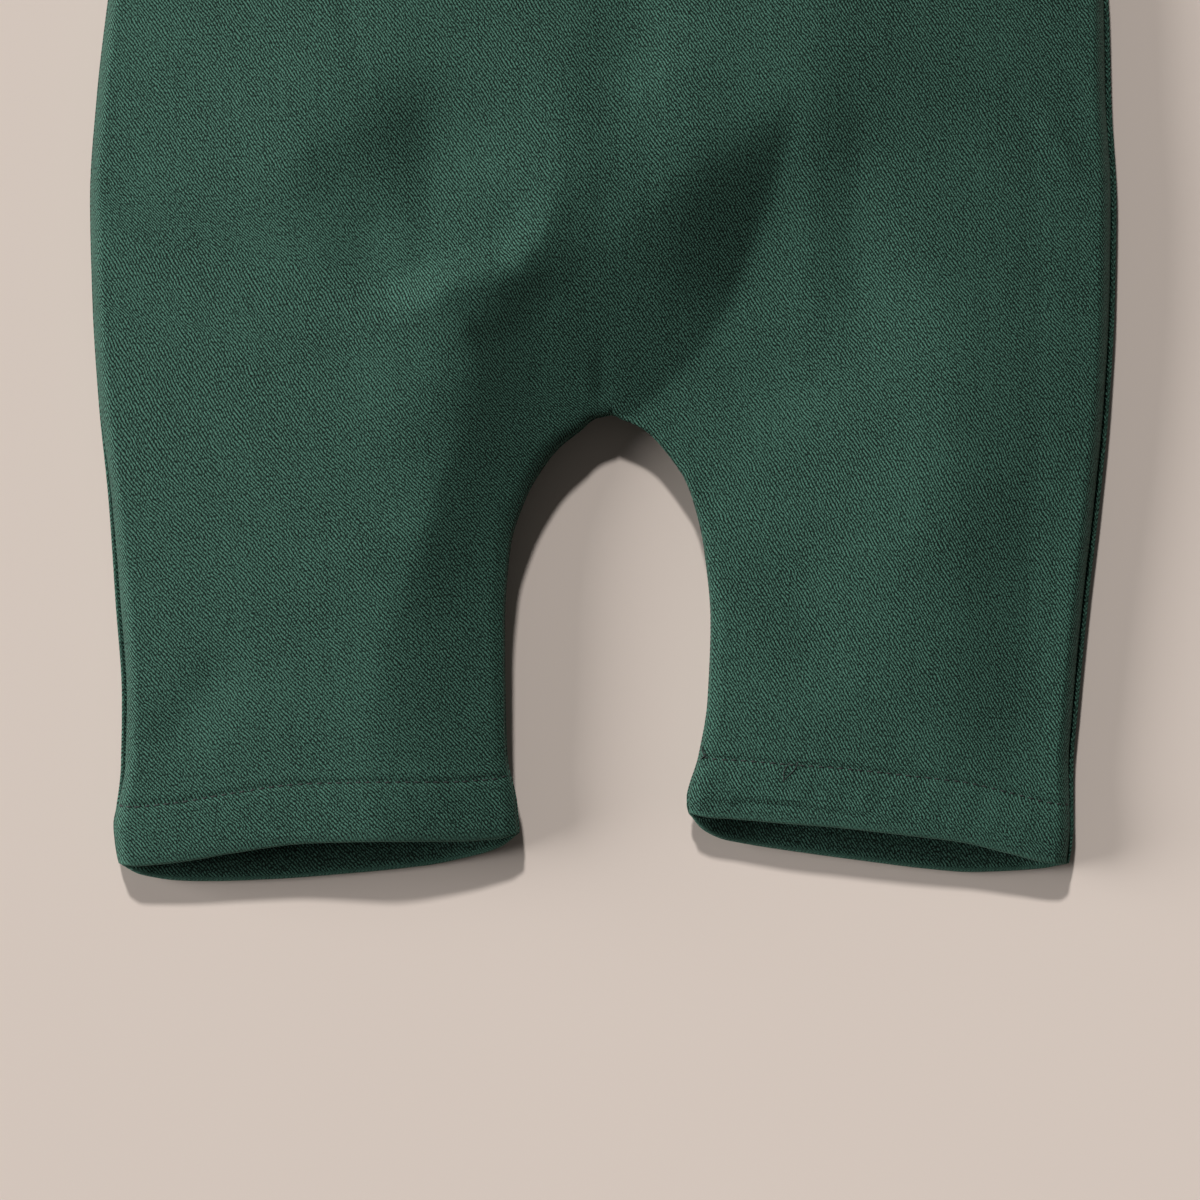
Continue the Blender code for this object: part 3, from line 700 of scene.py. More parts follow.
def weave_coordinates(side, points):
    """Millimetres along the weft and the warp of the cloth, measured over its surface."""
    steps = np.linalg.norm(np.diff(points, axis=1), axis=2)
    to_middle = np.zeros(points.shape[:2])
    to_middle[:, :-1] = np.cumsum(steps[:, ::-1], axis=1)[:, ::-1]
    pivot = OUT[side] * LEG_PIVOT
    v = points[..., 1]
    turn = math.radians(LEG_TURN[side]) * smooth_step((LEG_TURN_TOP - v) / LEG_TURN_SPAN)
    du = points[:, -1:, 0] + OUT[side] * to_middle - pivot
    return np.dstack([pivot + du * np.cos(turn) + v * np.sin(turn), v * np.cos(turn) - du * np.sin(turn)])


def panel_grid(side, outline, across, counts):
    """One side of a panel, from its outer edge in to the inseam and the middle."""
    front = outline.panel == "front"
    legs = leg_rows(side, outline, across, counts.leg)
    plan = np.array([*legs, *trunk_rows(side, outline, across, counts)])
    flat, shape = plan.reshape(-1, 2), plan.shape[:2]

    def away_from(lines):
        return nearest(flat, lines)[0].reshape(shape)

    z = (front_heights if front else back_heights)(flat).reshape(shape)
    seams = away_from(outline.sides + outline.inseams)
    clear = smooth_step(seams / SEAM_CLEAR)
    top_away = outline.armholes[0][-1, 1] - plan[..., 1]
    edge_away = np.minimum(away_from([armhole[4:] for armhole in outline.armholes]), top_away)
    hem_heights = np.full(shape, NO_HEM)
    hem_heights[: len(HEM_ROWS)] = HEM_ROWS[:, None]
    if front:
        z += hem_relief(hem_heights, across[None, :], ROPE_SEED[side]) * smooth_step(seams / 2.5)
        z += top_relief(edge_away) * smooth_step(seams / 4)
    else:
        z += 0.25 * bump_at(hem_heights, HEM_DEPTH, 0.9) * clear
    turned_away = np.minimum(edge_away - EDGE_HEM, hem_heights - HEM_DEPTH)
    wall = WALL + (HEM_WALL - WALL) * (1 - smooth_step(turned_away / WALL)) * clear
    points = np.dstack([plan, z])
    leg = points[: len(legs)]
    rim(leg[:, -1], leg[:, -2], outline.inseams, front)
    below_arm = points[: len(legs) + counts.trunk]
    rim(below_arm[:, 0], below_arm[:, 1], outline.sides, front)
    # painted highlight: paler along the turned edges of the hems, armholes and top, where a fold's edge
    # catches light
    painted_light = bump_at(np.minimum(edge_away, hem_heights), 0, 0.9)
    return Grid(points, wall, weave_coordinates(side, points), painted_light)


def rim(edge, inside, seams, above):
    """Sets the heights of points on a panel's edge so that its rim ends just off the seam's height."""
    seam_z = nearest(edge, seams)[1]
    run = np.linalg.norm(edge[:, :2] - inside[:, :2], axis=1)
    for _ in range(4):
        upright = run / np.hypot(run, edge[:, 2] - inside[:, 2])
        edge[:, 2] = seam_z + (1 if above else -1) * (GAP / 2 + WALL * upright)


# ---------------------------------------------------------------- cloth shells


class Surface(NamedTuple):
    """A sheet's outer face: points in millimetres, quads with their outer side up, and per-point values."""

    points: np.ndarray
    quads: np.ndarray
    wall: np.ndarray
    weave: np.ndarray
    painted_light: np.ndarray


def grid_quads(index, flip):
    a, b, c, d = index[:-1, :-1], index[:-1, 1:], index[1:, 1:], index[1:, :-1]
    order = (a, d, c, b) if flip else (a, b, c, d)
    return np.stack([corner.ravel() for corner in order], axis=1)


def joined(left, right, join_row, face_down):
    """The two sides of a panel as one sheet, which share their last column from join_row up."""
    rows, columns = left.points.shape[:2]
    index_left = np.arange(rows * columns).reshape(rows, columns)
    index_right = index_left + rows * columns
    index_right[join_row:, -1] = index_left[join_row:, -1]
    quads = np.concatenate([grid_quads(index_left, face_down), grid_quads(index_right, not face_down)])
    used, fresh = np.unique(quads, return_inverse=True)

    def pick(name):
        sides = [getattr(grid, name) for grid in (left, right)]
        return np.concatenate([side.reshape(rows * columns, *side.shape[2:]) for side in sides])[used]

    return Surface(pick("points"), fresh.reshape(-1, 4), pick("wall"), pick("weave"), pick("painted_light"))


def point_normals(points, quads):
    a, b, c, d = (points[quads[:, k]] for k in range(4))
    faces = np.cross(c - a, d - b)
    total = np.zeros_like(points)
    for k in range(4):
        np.add.at(total, quads[:, k], faces)
    return unit(total)


def border_edges(quads):
    """Directed edges that only one quad has."""
    edges = np.concatenate([quads[:, [k, (k + 1) % 4]] for k in range(4)])
    key = np.sort(edges, axis=1) @ np.array([1 << 32, 1])
    _, first, count = np.unique(key, return_index=True, return_counts=True)
    return edges[first[count == 1]]


def shell(name, surface):
    """A closed sheet with its wall behind the outer face and rounded rims. Its UV map is the weave's
    coordinates in centimetres. A float attribute carries painted light for the colour: a painted highlight
    along turned edges, and painted shade that darkens the whole inner face."""
    points, quads, wall = surface.points, surface.quads, surface.wall
    normals = point_normals(points, quads)
    inner = points - normals * wall[:, None]
    edges = border_edges(quads)
    outward = np.zeros_like(points)
    sideways = np.cross(unit(points[edges[:, 1]] - points[edges[:, 0]]), normals[edges[:, 0]])
    np.add.at(outward, edges[:, 0], sideways)
    np.add.at(outward, edges[:, 1], sideways)
    rim_points = np.unique(edges)
    out = unit(outward[rim_points])
    middle = (points + inner)[rim_points] / 2
    radius = wall[rim_points, None] / 2
    count = len(points)
    parts = [points, inner]
    weaves = [surface.weave, surface.weave]
    # the inner face is painted darker as painted shade for the inside of the garment; the rims keep the outer
    # face's painted highlight
    painted_light_parts = [surface.painted_light, surface.painted_light - REVERSE_PAINTED_SHADE]
    rings = [rim_points]
    for k in range(1, RIM_RINGS + 1):
        angle = math.pi * k / (RIM_RINGS + 1)
        parts.append(middle + radius * (math.cos(angle) * normals[rim_points] + math.sin(angle) * out))
        weaves.append(surface.weave[rim_points] + out[:, :2] * radius * angle)
        painted_light_parts.append(surface.painted_light[rim_points])
        rings.append(2 * count + (k - 1) * len(rim_points) + np.arange(len(rim_points)))
    rings.append(rim_points + count)
    row = np.zeros(count, int)
    row[rim_points] = np.arange(len(rim_points))
    a, b = row[edges[:, 0]], row[edges[:, 1]]
    rims = [np.stack([near[b], near[a], far[a], far[b]], axis=1) for near, far in zip(rings, rings[1:])]
    faces = np.concatenate([quads, quads[:, ::-1] + count, *rims])
    made = green_mesh(name, np.concatenate(parts), faces, TWILL)
    weave = np.concatenate(weaves)[corner_points(made.data)] / 10
    made.data.uv_layers.new(name="weave").data.foreach_set("uv", weave.astype(np.float32).ravel())
    painted_light = np.concatenate(painted_light_parts).astype(np.float32)
    made.data.attributes.new("painted_light", "FLOAT", "POINT").data.foreach_set("value", painted_light)
    return made


def corner_points(mesh):
    """The point of each of a mesh's face corners."""
    corners = np.empty(len(mesh.loops), np.int32)
    mesh.loops.foreach_get("vertex_index", corners)
    return corners


def add_object(name, data):
    made = bpy.data.objects.new(name, data)
    bpy.context.scene.collection.objects.link(made)
    return made


def add_mesh(name, points, faces):
    """An object from points in metres and faces."""
    mesh = bpy.data.meshes.new(name)
    mesh.from_pydata(points.tolist(), [], faces)
    return add_object(name, mesh)


def green_mesh(name, points, quads, material):
    """A smooth piece from garment coordinates and quads, which rides with the garment."""
    made = add_mesh(name, place(points), quads.tolist())
    made.data.shade_smooth()
    made.data.materials.append(material)
    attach(made, "root")
    return made


# ---------------------------------------------------------------- stitches


def rings_round(middle, radius, across, up, sides):
    """A ring of points round each middle, in the plane of across and up."""
    turn = math.tau * np.arange(sides)[:, None] / sides
    circle = np.cos(turn) * across[..., None, :] + np.sin(turn) * up[..., None, :]
    return (middle[:, None, :] + radius[:, None, None] * circle).reshape(-1, 3)


def ring_quads(rings, sides):
    index = np.arange(rings * sides).reshape(rings, sides)
    return grid_quads(np.column_stack([index, index[:, :1]]), False)


def sewn_line(line):
    """Points and quads of one rounded stitch after another along a line of points on the cloth."""
    at = lengths(line)
    count = max(1, round(at[-1] / STITCH_PITCH))
    step = at[-1] / count
    share = np.linspace(0, 1, STITCH_RINGS)
    arch = np.sin(np.pi * share)
    thick = STITCH_RADIUS * (0.35 + 0.65 * arch**0.5)
    for number in range(count):
        first = number * step + STITCH_GAP / 2 + STITCH_WOBBLE * math.sin(number * 2.4) * step
        last = (number + 1) * step - STITCH_GAP / 2
        spots = first + (last - first) * share
        where = np.stack([np.interp(spots, at, line[:, k]) for k in range(3)], axis=1)
        head = unit(where[-1] - where[0])
        up = np.array([0.0, 0.0, 1.0]) if abs(head[2]) < 0.8 else np.array([0.0, 1.0, 0.0])
        across = unit(np.cross(up, head))
        up = np.cross(head, across)
        middle = where + up * (STITCH_RADIUS * STITCH_SINK * (arch - 0.9))[:, None]
        points = rings_round(middle, thick, across, up, STITCH_SIDES)
        yield points, ring_quads(STITCH_RINGS, STITCH_SIDES)


def tube(line, radius, sides=8):
    """Points and quads of a thread along points, with narrowed ends."""
    heading = unit(np.gradient(line, axis=0))
    side = unit(np.cross(heading, np.array([0.02, 0.03, 1.0])))
    thick = np.full(len(line), radius)
    thick[[0, -1]] = radius * 0.3
    points = rings_round(line, thick, side, np.cross(side, heading), sides)
    return points, ring_quads(len(line), sides)


def thread(name, pieces):
    """One object from pieces of thread, each with its points and quads."""
    starts = np.cumsum([0] + [len(points) for points, _ in pieces])
    quads = np.concatenate([quads + start for (_, quads), start in zip(pieces, starts)])
    return green_mesh(name, np.concatenate([points for points, _ in pieces]), quads, THREAD)


def stitches(name, lines):
    return thread(name, [stitch for line in lines for stitch in sewn_line(line)])


def tubes(name, lines, radius):
    return thread(name, [tube(line, radius) for line in lines])


def on_front(plan, lift=0.0):
    return np.column_stack([plan, front_heights(plan) + lift])


def inside_edge(outline, inset):
    """Plan points of a line set in from the left armhole, the top edge and the right armhole."""
    level = outline.armholes[0][-1, 1] - inset
    lines = []
    for line, out in zip(outline.armholes, OUT.values()):
        heading = unit(np.gradient(line[:, :2], axis=0))
        moved = line[:, :2] + np.column_stack([-heading[:, 1], heading[:, 0]]) * out * inset
        lines.append(moved[moved[:, 1] < level])
    corner = min(abs(line[-1, 0]) for line in lines)
    across = np.linspace(-corner, corner, LINE_POINTS)
    return lines[0], np.column_stack([across, np.full(LINE_POINTS, level)]), lines[1]


# ---------------------------------------------------------------- materials


def new_material(name):
    material = bpy.data.materials.new(name)
    material.use_nodes = True
    tree = material.node_tree
    return material, tree, tree.nodes["Principled BSDF"]


def math_node(tree, operation, a, b=None, c=None, clamp=False):
    node = tree.nodes.new("ShaderNodeMath")
    node.operation = operation
    node.use_clamp = clamp
    for socket, value in zip(node.inputs, (a, b, c)):
        if value is None:
            continue
        if isinstance(value, (int, float)):
            socket.default_value = value
        else:
            tree.links.new(value, socket)
    return node.outputs[0]


def noise_node(tree, vector, scale, detail=2.0, roughness=0.5, stretch=None):
    if stretch is not None:
        mapping = tree.nodes.new("ShaderNodeMapping")
        mapping.inputs["Scale"].default_value = stretch
        tree.links.new(vector, mapping.inputs["Vector"])
        vector = mapping.outputs["Vector"]
    node = tree.nodes.new("ShaderNodeTexNoise")
    node.inputs["Scale"].default_value = scale
    node.inputs["Detail"].default_value = detail
    node.inputs["Roughness"].default_value = roughness
    tree.links.new(vector, node.inputs["Vector"])
    return node.outputs["Fac"]


def colour_between(tree, shader, factor, low, high):
    """Gives the surface a colour between two others."""
    mix = tree.nodes.new("ShaderNodeMix")
    mix.data_type = "RGBA"
    mix.inputs[6].default_value = (*low, 1.0)
    mix.inputs[7].default_value = (*high, 1.0)
    tree.links.new(factor, mix.inputs[0])
    tree.links.new(mix.outputs[2], shader.inputs["Base Color"])


def add_bump(tree, shader, height, strength, metres):
    bump = tree.nodes.new("ShaderNodeBump")
    bump.inputs["Strength"].default_value = strength
    bump.inputs["Distance"].default_value = metres
    tree.links.new(height, bump.inputs["Height"])
    tree.links.new(bump.outputs["Normal"], shader.inputs["Normal"])


def set_inputs(shader, values):
    for name, value in values.items():
        shader.inputs[name].default_value = value


def object_place(tree):
    return tree.nodes.new("ShaderNodeTexCoord").outputs["Object"]


TWILL_ANGLE = 54.0  # below the horizontal, from upper left to lower right
TWILL_PERIOD = 0.074  # cm between the lines, square to them
TWILL_COLOURS = (0.001, 0.007, 0.0045), (0.065, 0.166, 0.124)
THREAD_COLOURS = (0.0008, 0.003, 0.0022), (0.004, 0.013, 0.010)
BUTTON_COLOURS = (0.010, 0.036, 0.027), (0.034, 0.094, 0.070)
FLOOR_COLOURS = (0.655, 0.571, 0.517), (0.675, 0.588, 0.532)

# how much each pattern of the cloth adds to its tone, and where the tone starts
GRAIN_TONE = 0.32
LINES_TONE = 0.42
WARP_TONE = 0.42
WEFT_TONE = 0.07
BROAD_TONE = 0.3
# how far painted light moves the tone: the painted highlight along turned edges and the painted shade on
# inner faces
PAINTED_LIGHT_TONE = 0.35
TONE_START = -0.58


def twill_lines(tree, vector):
    """Slanting lines, 0 to 1, that wander a little."""
    wander = noise_node(tree, vector, 2.2, 1.0)
    angle = math.radians(TWILL_ANGLE)
    dot = tree.nodes.new("ShaderNodeVectorMath")
    dot.operation = "DOT_PRODUCT"
    tree.links.new(vector, dot.inputs[0])
    dot.inputs[1].default_value = (math.sin(angle) / TWILL_PERIOD, math.cos(angle) / TWILL_PERIOD, 0.0)
    phase = math_node(tree, "MULTIPLY_ADD", wander, 1.6, dot.outputs["Value"])
    wave = math_node(tree, "SINE", math_node(tree, "MULTIPLY", phase, math.tau))
    return math_node(tree, "MULTIPLY_ADD", wave, 0.75, 0.5, clamp=True)


def twill_material():
    """A slightly uneven twill: lines broken by grains, streaks along both threads, broad cloudiness."""
    material, tree, shader = new_material("green_twill_cloth")
    uv = tree.nodes.new("ShaderNodeUVMap")
    uv.uv_map = "weave"
    vector = uv.outputs["UV"]
    lines = twill_lines(tree, vector)
    grain = noise_node(tree, vector, 24.0, 1.0, 0.6, (1.0, 0.7, 1.0))
    grain = math_node(tree, "MULTIPLY_ADD", grain, 4.6, -1.8, clamp=True)
    warp = noise_node(tree, vector, 22.0, 2.0, 0.6, (1.0, 0.025, 1.0))
    weft = noise_node(tree, vector, 22.0, 2.0, 0.6, (0.03, 1.0, 1.0))
    broad = noise_node(tree, vector, 0.35, 2.0)
    # painted light read from the mesh: painted highlight along turned edges, painted shade on the inner faces
    painted_light = tree.nodes.new("ShaderNodeAttribute")
    painted_light.attribute_name = "painted_light"
    yarn = math_node(tree, "MULTIPLY", lines, grain)
    for pattern, share in ((grain, GRAIN_TONE), (lines, LINES_TONE)):
        yarn = math_node(tree, "MULTIPLY_ADD", pattern, share, yarn)
    tone = yarn
    for pattern, share in ((warp, WARP_TONE), (weft, WEFT_TONE), (broad, BROAD_TONE)):
        tone = math_node(tree, "MULTIPLY_ADD", pattern, share, tone)
    tone = math_node(tree, "ADD", tone, TONE_START)
    tone = math_node(tree, "MULTIPLY_ADD", painted_light.outputs["Fac"], PAINTED_LIGHT_TONE, tone, clamp=True)
    colour_between(tree, shader, tone, *TWILL_COLOURS)
    add_bump(tree, shader, yarn, 0.55, 0.00013)
    roughness = math_node(tree, "MULTIPLY_ADD", grain, -0.12, 0.94)
    tree.links.new(roughness, shader.inputs["Roughness"])
    sheen = {"Sheen Weight": 0.06, "Sheen Roughness": 0.5, "Sheen Tint": (0.55, 0.75, 0.66, 1.0)}
    set_inputs(shader, {"Specular IOR Level": 0.18, **sheen})
    return material


def thread_material():
    material, tree, shader = new_material("sewing_thread")
    fuzz = noise_node(tree, object_place(tree), 9000.0, 2.0)
    colour_between(tree, shader, fuzz, *THREAD_COLOURS)
    add_bump(tree, shader, fuzz, 0.4, 0.00004)
    set_inputs(shader, {"Roughness": 0.62, "Sheen Weight": 0.05})
    return material


def button_material():
    """Moulded plastic in the cloth's green, with faint cloudy streaks and fine marks."""
    material, tree, shader = new_material("button_plastic")
    where = object_place(tree)
    colour_between(tree, shader, noise_node(tree, where, 160.0, 4.0, 0.6, (1.0, 1.6, 3.0)), *BUTTON_COLOURS)
    marks = noise_node(tree, where, 900.0, 2.0)
    add_bump(tree, shader, marks, 0.12, 0.00004)
    tree.links.new(math_node(tree, "MULTIPLY_ADD", marks, 0.16, 0.36), shader.inputs["Roughness"])
    return material


def floor_material():
    material, tree, shader = new_material("pale_floor")
    colour_between(tree, shader, noise_node(tree, object_place(tree), 6.0, 2.0), *FLOOR_COLOURS)
    set_inputs(shader, {"Roughness": 0.85, "Specular IOR Level": 0.2})
    return material


TWILL = twill_material()
THREAD = thread_material()
PLASTIC = button_material()

# ---------------------------------------------------------------- straps


class StrapPoint(NamedTuple):
    """One station of a strap's middle line: x is out from the garment's centre, z the middle of its wall."""

    x: float
    y: float
    z: float


ON_BIB = 0.0
ON_SURFACE = WALL / 2 + 0.02
IN_BACK = HEM_WALL + GAP + WALL / 2
STRAP_LINE = [
    StrapPoint(50, 212, ON_BIB),
    StrapPoint(50, 224, ON_BIB),
    StrapPoint(49.8, 236, ON_BIB),
    StrapPoint(49.6, 243.5, 7.4),
    StrapPoint(49.2, 254, 5.4),
    StrapPoint(48.4, 264, 3.4),
    StrapPoint(47.6, 280, 2.9),
    StrapPoint(46.8, 296, 3.1),
    StrapPoint(46.2, 308, 3.6),
    StrapPoint(46, 313, 3.5),
    StrapPoint(45.9, 314.4, 2.1),
    StrapPoint(45.8, 313, 0.7),
    StrapPoint(45.6, 307, ON_SURFACE),
    StrapPoint(45, 292, ON_SURFACE),
    StrapPoint(44, 268, ON_SURFACE),
    StrapPoint(43, 246, ON_SURFACE),
    StrapPoint(42.6, 238, 1),
    StrapPoint(42.2, 230.5, 2.9),
    StrapPoint(42, 222, IN_BACK),
    StrapPoint(42, 213, IN_BACK),
]
TIP_ROUND = 7.0  # over which the buttoned end narrows
TIP_NARROW = 0.34  # the share of its width that it loses
TIP_STATIONS = [0.0, 0.5, 1.0, 2.0, 3.2, 4.5, 5.8]
STRAP_STATIONS = 150
STRAP_COLUMNS = 25
ON_CLOTH = WALL / 2 - 0.1  # from the middle of a strap's wall out to its stitches


def above_bib(points):
    """Height of the middle of a strap's wall over the bib."""
    return front_heights(points) + GAP + WALL / 2


def strap_middle(out):
    """Rows of points over the middle of a strap's wall, and how far along it each row is."""
    line = np.array(STRAP_LINE, float)
    line[:, 0] *= out
    on_bib = line[:, 2] == ON_BIB
    line[on_bib, 2] = above_bib(line[on_bib, :2])
    at = lengths(line)
    stations = np.concatenate([TIP_STATIONS, np.linspace(TIP_ROUND, at[-1], STRAP_STATIONS)])
    middle = np.stack([through(at, line[:, k], stations) for k in range(3)], axis=1)
    narrow = np.clip(1 - stations / TIP_ROUND, 0, 1)
    half = (STRAP_WIDTH / 2 - WALL / 2) * (1 - TIP_NARROW * narrow**2)
    rows = np.repeat(middle[:, None, :], STRAP_COLUMNS, axis=1)
    rows[:, :, 0] += np.outer(half, out * (1 - 2 * spread(STRAP_COLUMNS, 0.4)))
    bib_rows = rows[: np.searchsorted(stations, at[on_bib][-1])]
    bib_rows[..., 2] = above_bib(bib_rows[..., :2].reshape(-1, 2)).reshape(bib_rows.shape[:2])
    return rows, stations


def strap(side, out):
    """A flat band from the back's top edge, over a fold, down to its buttoned end, with its stitching."""
    rows, stations = strap_middle(out)
    high, wide = rows.shape[:2]
    centre = wide // 2
    index = np.arange(high * wide).reshape(high, wide)
    flat = rows.reshape(-1, 3)
    quads = grid_quads(index, out > 0)
    normals = point_normals(flat, quads)
    across = rows[..., 0] - rows[:, centre, None, 0]
    half = np.abs(across).max(axis=1, keepdims=True)
    from_edge = half - np.abs(across)
    wall = WALL - 0.32 * bump_at(from_edge, STRAP_STITCH_IN, 0.6)
    outer = flat + normals * (wall.reshape(-1, 1) / 2)
    weave = np.dstack([across, np.broadcast_to(stations[:, None], across.shape)])
    # painted highlight along the strap's edges
    painted_light = 0.7 * bump_at(from_edge, 0, 0.8)
    surface = Surface(outer, quads, wall.ravel(), weave.reshape(-1, 2), painted_light.ravel())
    made = shell(f"strap_{side}_cloth", surface)
    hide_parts(f"strap_{side}")
    runs = []
    inset = half[:, 0] - STRAP_STITCH_IN
    for sign in OUT.values():
        nearest_column = np.abs(across - sign * inset[:, None]).argmin(axis=1)
        line = rows[:, centre].copy()
        line[:, 0] += sign * inset
        line[:, 2] = rows[np.arange(high), nearest_column, 2]
        for face in (1, -1):
            runs.append((line + normals[index[:, centre]] * face * ON_CLOTH)[4:-6])
    tip = rows[4][np.abs(across[4]) < inset[4]]
    runs.append(tip + np.array([0, 0, ON_CLOTH]))
    return made, stitches(f"strap_{side}_stitching", runs)


# ---------------------------------------------------------------- buttons


class Turned(NamedTuple):
    """One corner of a button's profile."""

    radius: float
    height: float


DISH = BUTTON_THICK - 0.85
BUTTON_CURVE = [
    Turned(0, DISH),
    Turned(3.2, BUTTON_THICK - 0.83),
    Turned(4.3, BUTTON_THICK - 0.74),
    Turned(4.9, BUTTON_THICK - 0.42),
    Turned(5.4, BUTTON_THICK - 0.14),
    Turned(5.9, BUTTON_THICK - 0.02),
    Turned(6.3, BUTTON_THICK),
    Turned(6.8, BUTTON_THICK - 0.12),
    Turned(7.15, BUTTON_THICK - 0.42),
    Turned(7.4, BUTTON_THICK - 0.9),
    Turned(7.5, BUTTON_THICK * 0.5),
    Turned(7.4, 0.75),
    Turned(7.1, 0.35),
    Turned(6.6, 0.1),
    Turned(5.9, 0),
    Turned(0, 0),
]
HOLE_RADIUS = 0.95
HOLE_SPREAD = 1.9  # from the button's middle to the middle of a hole
BUTTON_SEGMENTS = 72
DRILL_SIDES = 20
DRILL_ENDS = (-0.004, 0.006)  # metres from the button's underside


def button_spot(out):
    spot = np.array([[out * STRAP_LINE[1].x, STRAP_LINE[1].y]])
    return np.array([*spot[0], above_bib(spot)[0] + WALL / 2 + GAP])


def button(side, out):
    """A turned button with a raised rim, a dished middle, four drilled holes and the thread through them."""
    spot = button_spot(out)
    profile = np.array(BUTTON_CURVE)
    turn = math.tau * np.arange(BUTTON_SEGMENTS) / BUTTON_SEGMENTS
    ring = np.stack([np.cos(turn), np.sin(turn)], axis=1)
    points = [np.array([[0, 0, profile[0, 1]]])]
    for radius, height in profile[1:-1]:
        points.append(np.column_stack([ring * radius, np.full(BUTTON_SEGMENTS, height)]))
    points.append(np.array([[0, 0, profile[-1, 1]]]))
    points = np.concatenate(points) + spot
    count = BUTTON_SEGMENTS
    faces = []
    rings = len(profile) - 2
    for s in range(count):
        n = (s + 1) % count
        faces.append([0, 1 + s, 1 + n])
        for r in range(rings - 1):
            a, b = 1 + r * count, 1 + (r + 1) * count
            faces.append([a + s, b + s, b + n, a + n])
        last = 1 + (rings - 1) * count
        faces.append([last + s, len(points) - 1, last + n])
    made = add_mesh(f"button_{side}_moulded", place(points), faces)
    drills = [drill(made, place(spot + hole)) for hole in hole_middles()]
    bpy.context.view_layer.update()
    solid = bpy.data.meshes.new_from_object(made.evaluated_get(bpy.context.evaluated_depsgraph_get()))
    made.modifiers.clear()
    made.data = solid
    for cutter in drills:
        bpy.data.objects.remove(cutter)
    solid.materials.clear()
    solid.materials.append(PLASTIC)
    solid.shade_smooth()
    solid.set_sharp_from_angle(angle=math.radians(40))
    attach(made, "root")
    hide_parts(f"button_{side}")
    button_thread(side, spot)


def hole_middles():
    angles = [math.radians(45 + 90 * number) for number in range(4)]
    return [np.array([HOLE_SPREAD * math.cos(a), HOLE_SPREAD * math.sin(a), 0.0]) for a in angles]


def drill(owner, where):
    """A cutter for one hole of a button, taken away once it has cut."""
    count = DRILL_SIDES
    turn = math.tau * np.arange(count) / count
    ring = np.column_stack([np.cos(turn), np.sin(turn)]) * HOLE_RADIUS / 1000
    points = np.concatenate([np.column_stack([ring, np.full(count, end)]) for end in DRILL_ENDS])
    faces = [list(range(count - 1, -1, -1)), list(range(count, 2 * count))]
    faces += [[s, (s + 1) % count, count + (s + 1) % count, count + s] for s in range(count)]
    made = add_mesh("drill", points + where, faces)
    cut = owner.modifiers.new("hole", "BOOLEAN")
    cut.operation = "DIFFERENCE"
    cut.solver = "EXACT"
    cut.object = made
    return made


def button_thread(side, spot):
    """Strands over the button, in two bars through its holes."""
    holes = hole_middles()
    strands = []
    for first, second in ((holes[0], holes[1]), (holes[3], holes[2])):
        for number in range(4):
            shift = np.array([0.0, (number - 1.5) * 0.3, 0.0])
            t = np.linspace(0, 1, 15)
            swing = np.sin(np.pi * t)
            path = np.outer(1 - t, first) + np.outer(t, second) + shift
            path[:, 2] = DISH - 1.3 + 1.7 * np.clip(swing * 2.2, 0, 1) + 0.1 * (number % 2)
            strands.append(path + spot)
    tubes(f"button_{side}_thread", strands, 0.19)


SLOT_HALF = 9.0  # half the length of a buttonhole; its ends are sewn across
SLOT_STEPS = np.arange(-9.6, 9.61, 0.42)


def buttonhole(side, out):
    """The worked slot in the strap's end, seen above and below the button."""
    spot = button_spot(out)
    share = np.linspace(0, 1, 5)
    lines = []
    for step in SLOT_STEPS:
        near = 0.0 if abs(step) > SLOT_HALF else 0.25
        for edge in (-1, 1):
            x = spot[0] + edge * (near + (1.5 - near) * share)
            plan = np.column_stack([x, np.full(len(x), spot[1] + step)])
            lines.append(np.column_stack([plan, above_bib(plan) + WALL / 2 + 0.16 * np.sin(np.pi * share)]))
    return tubes(f"strap_{side}_buttonhole", lines, 0.17)


# ---------------------------------------------------------------- panels


def make_panel(name, across, counts, face_down):
    outline = OUTLINES[name]
    grids = [panel_grid(side, outline, across, counts) for side in OUT]
    join = len(HEM_ROWS) + counts.leg - 1
    made = shell(f"{name}_cloth", joined(*grids, join, face_down))
    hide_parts(name)
    return made, grids


def hem_lines(grids, face):
    row = int(np.flatnonzero(np.isclose(HEM_ROWS, HEM_DEPTH))[0])
    return [grid.points[row, 1:-1] + np.array([0, 0, face]) for grid in grids]


# the right hem's stitching starts doubled at the inseam, with a few thread ends left long
BACKTACK = (24.4, 37.4)
BACKTACK_APART = 0.8
LOOSE_ENDS = [
    ((49.4, -89.6), (48.9, -92.6), (46.6, -93.2), (45.6, -94.8)),
    ((45.9, -94.9), (45.2, -92.6), (46.4, -91.0), (47.3, -90.0)),
    ((25.6, -88.2), (24.8, -87.2), (24.6, -86.6), (24.9, -86.0)),
    ((25.6, -88.2), (25.0, -88.6), (24.6, -88.9), (24.4, -89.3)),
]

front_cloth, front_grids = make_panel("front", FRONT_ACROSS, FRONT_ROWS, False)
back_cloth, back_grids = make_panel("back", BACK_ACROSS, BACK_ROWS, True)

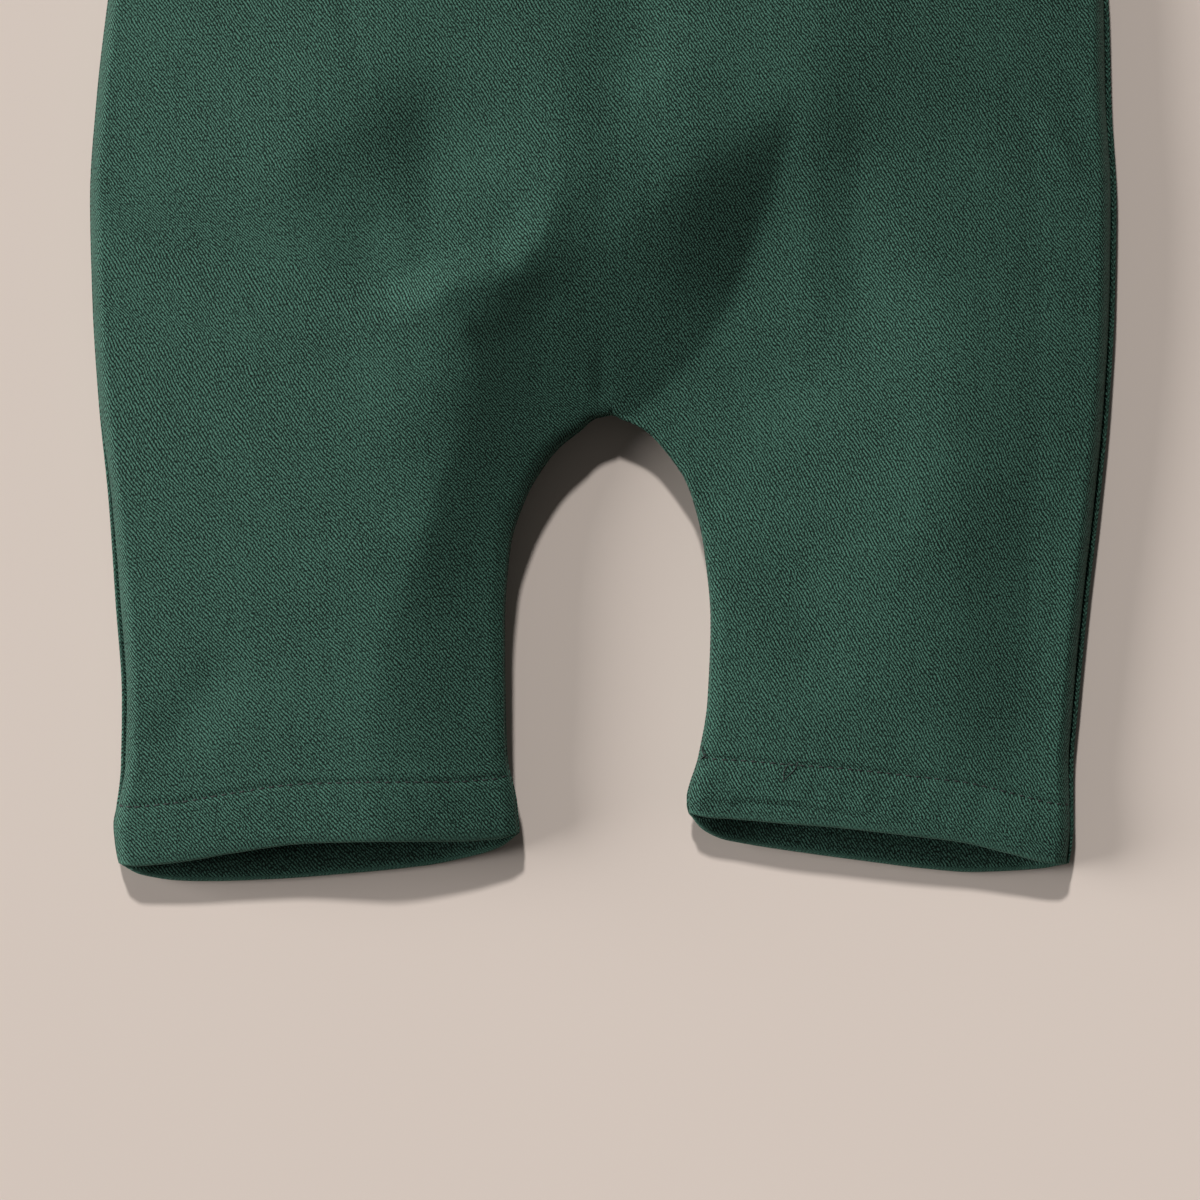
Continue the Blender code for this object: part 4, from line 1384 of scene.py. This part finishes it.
front_runs = hem_lines(front_grids, 0.06)
front_runs += [on_front(line) for line in inside_edge(OUTLINES["front"], TOPSTITCH_IN)]
right_hem = front_runs[1]
backtack = right_hem[(right_hem[:, 0] > BACKTACK[0]) & (right_hem[:, 0] < BACKTACK[1])]
front_runs.append(backtack + np.array([0.0, BACKTACK_APART, 0.02]))
front_stitching = stitches("front_stitching", front_runs)
loose_ends = [on_front(bezier(*line), 0.3) for line in LOOSE_ENDS]
front_loose_thread = tubes("front_loose_thread", loose_ends, 0.13)
back_runs = hem_lines(back_grids, 0.1)
for line in inside_edge(OUTLINES["back"], TOPSTITCH_IN):
    underside = back_heights(line)
    back_runs.append(np.column_stack([line, underside + 0.12]))
    back_runs.append(np.column_stack([line, underside + HEM_WALL - 0.05]))
back_stitching = stitches("back_stitching", back_runs)

straps = [strap(side, out) for side, out in OUT.items()]
for side, out in OUT.items():
    button(side, out)
buttonholes = [buttonhole(side, out) for side, out in OUT.items()]

# ---------------------------------------------------------------- floor, lights and camera

MM_PER_PIXEL = 0.26
CROTCH_PIXEL = (606.0, 415.0)  # where garment x and y are 0 in the photograph
PHOTO_PIXELS = 1200.0  # wide and high
CAMERA_HEIGHT = 1.6  # metres, as the next ones
FLOOR_HALF = 1.6
FLOOR_Z = -0.0004
FLOOR_CELLS = 8
KEY_ELEVATION = 44.0
KEY_SIDEWAYS = 0.18


def from_pixel(px, py):
    """Garment coordinates of a photograph's pixel, at the surface."""
    return ((px - CROTCH_PIXEL[0]) * MM_PER_PIXEL, (CROTCH_PIXEL[1] - py) * MM_PER_PIXEL, 0.0)


def add_floor():
    steps = np.linspace(-FLOOR_HALF, FLOOR_HALF, FLOOR_CELLS + 1)
    points = np.array([(x, y, FLOOR_Z) for y in steps for x in steps])
    index = np.arange(len(points)).reshape(len(steps), len(steps))
    made = add_mesh("floor", points, grid_quads(index, False).tolist())
    made.data.materials.append(floor_material())


def add_sun(name, travel, strength, spread_degrees, colour):
    lamp = bpy.data.lights.new(name, "SUN")
    lamp.energy = strength
    lamp.angle = math.radians(spread_degrees)
    lamp.color = colour
    add_object(name, lamp).rotation_euler = Vector(travel).to_track_quat("-Z", "Y").to_euler()


def add_world():
    world = bpy.data.worlds.new("studio")
    world.use_nodes = True
    background = world.node_tree.nodes["Background"]
    background.inputs["Color"].default_value = (1.0, 0.95, 0.9, 1.0)
    background.inputs["Strength"].default_value = 0.07
    bpy.context.scene.world = world


def add_camera():
    camera = bpy.data.cameras.new("camera")
    camera.sensor_width = 36.0
    view_width = PHOTO_PIXELS * MM_PER_PIXEL / 1000
    camera.lens = camera.sensor_width * CAMERA_HEIGHT / view_width
    camera.clip_end = 10.0
    made = add_object("camera", camera)
    middle = place(from_pixel(PHOTO_PIXELS / 2, PHOTO_PIXELS / 2))
    made.location = (middle[0], middle[1], CAMERA_HEIGHT)
    bpy.context.scene.camera = made


add_floor()
key_drop = math.tan(math.radians(KEY_ELEVATION)) * math.hypot(1.0, KEY_SIDEWAYS)
add_sun("key", (KEY_SIDEWAYS, -1.0, -key_drop), 2.35, 4.5, (1.0, 0.985, 0.965))
add_sun("fill", (1.0, -0.09, -0.33), 3.9, 38.0, (1.0, 0.99, 0.98))
add_world()
add_camera()
bpy.context.scene.view_settings.view_transform = "Standard"
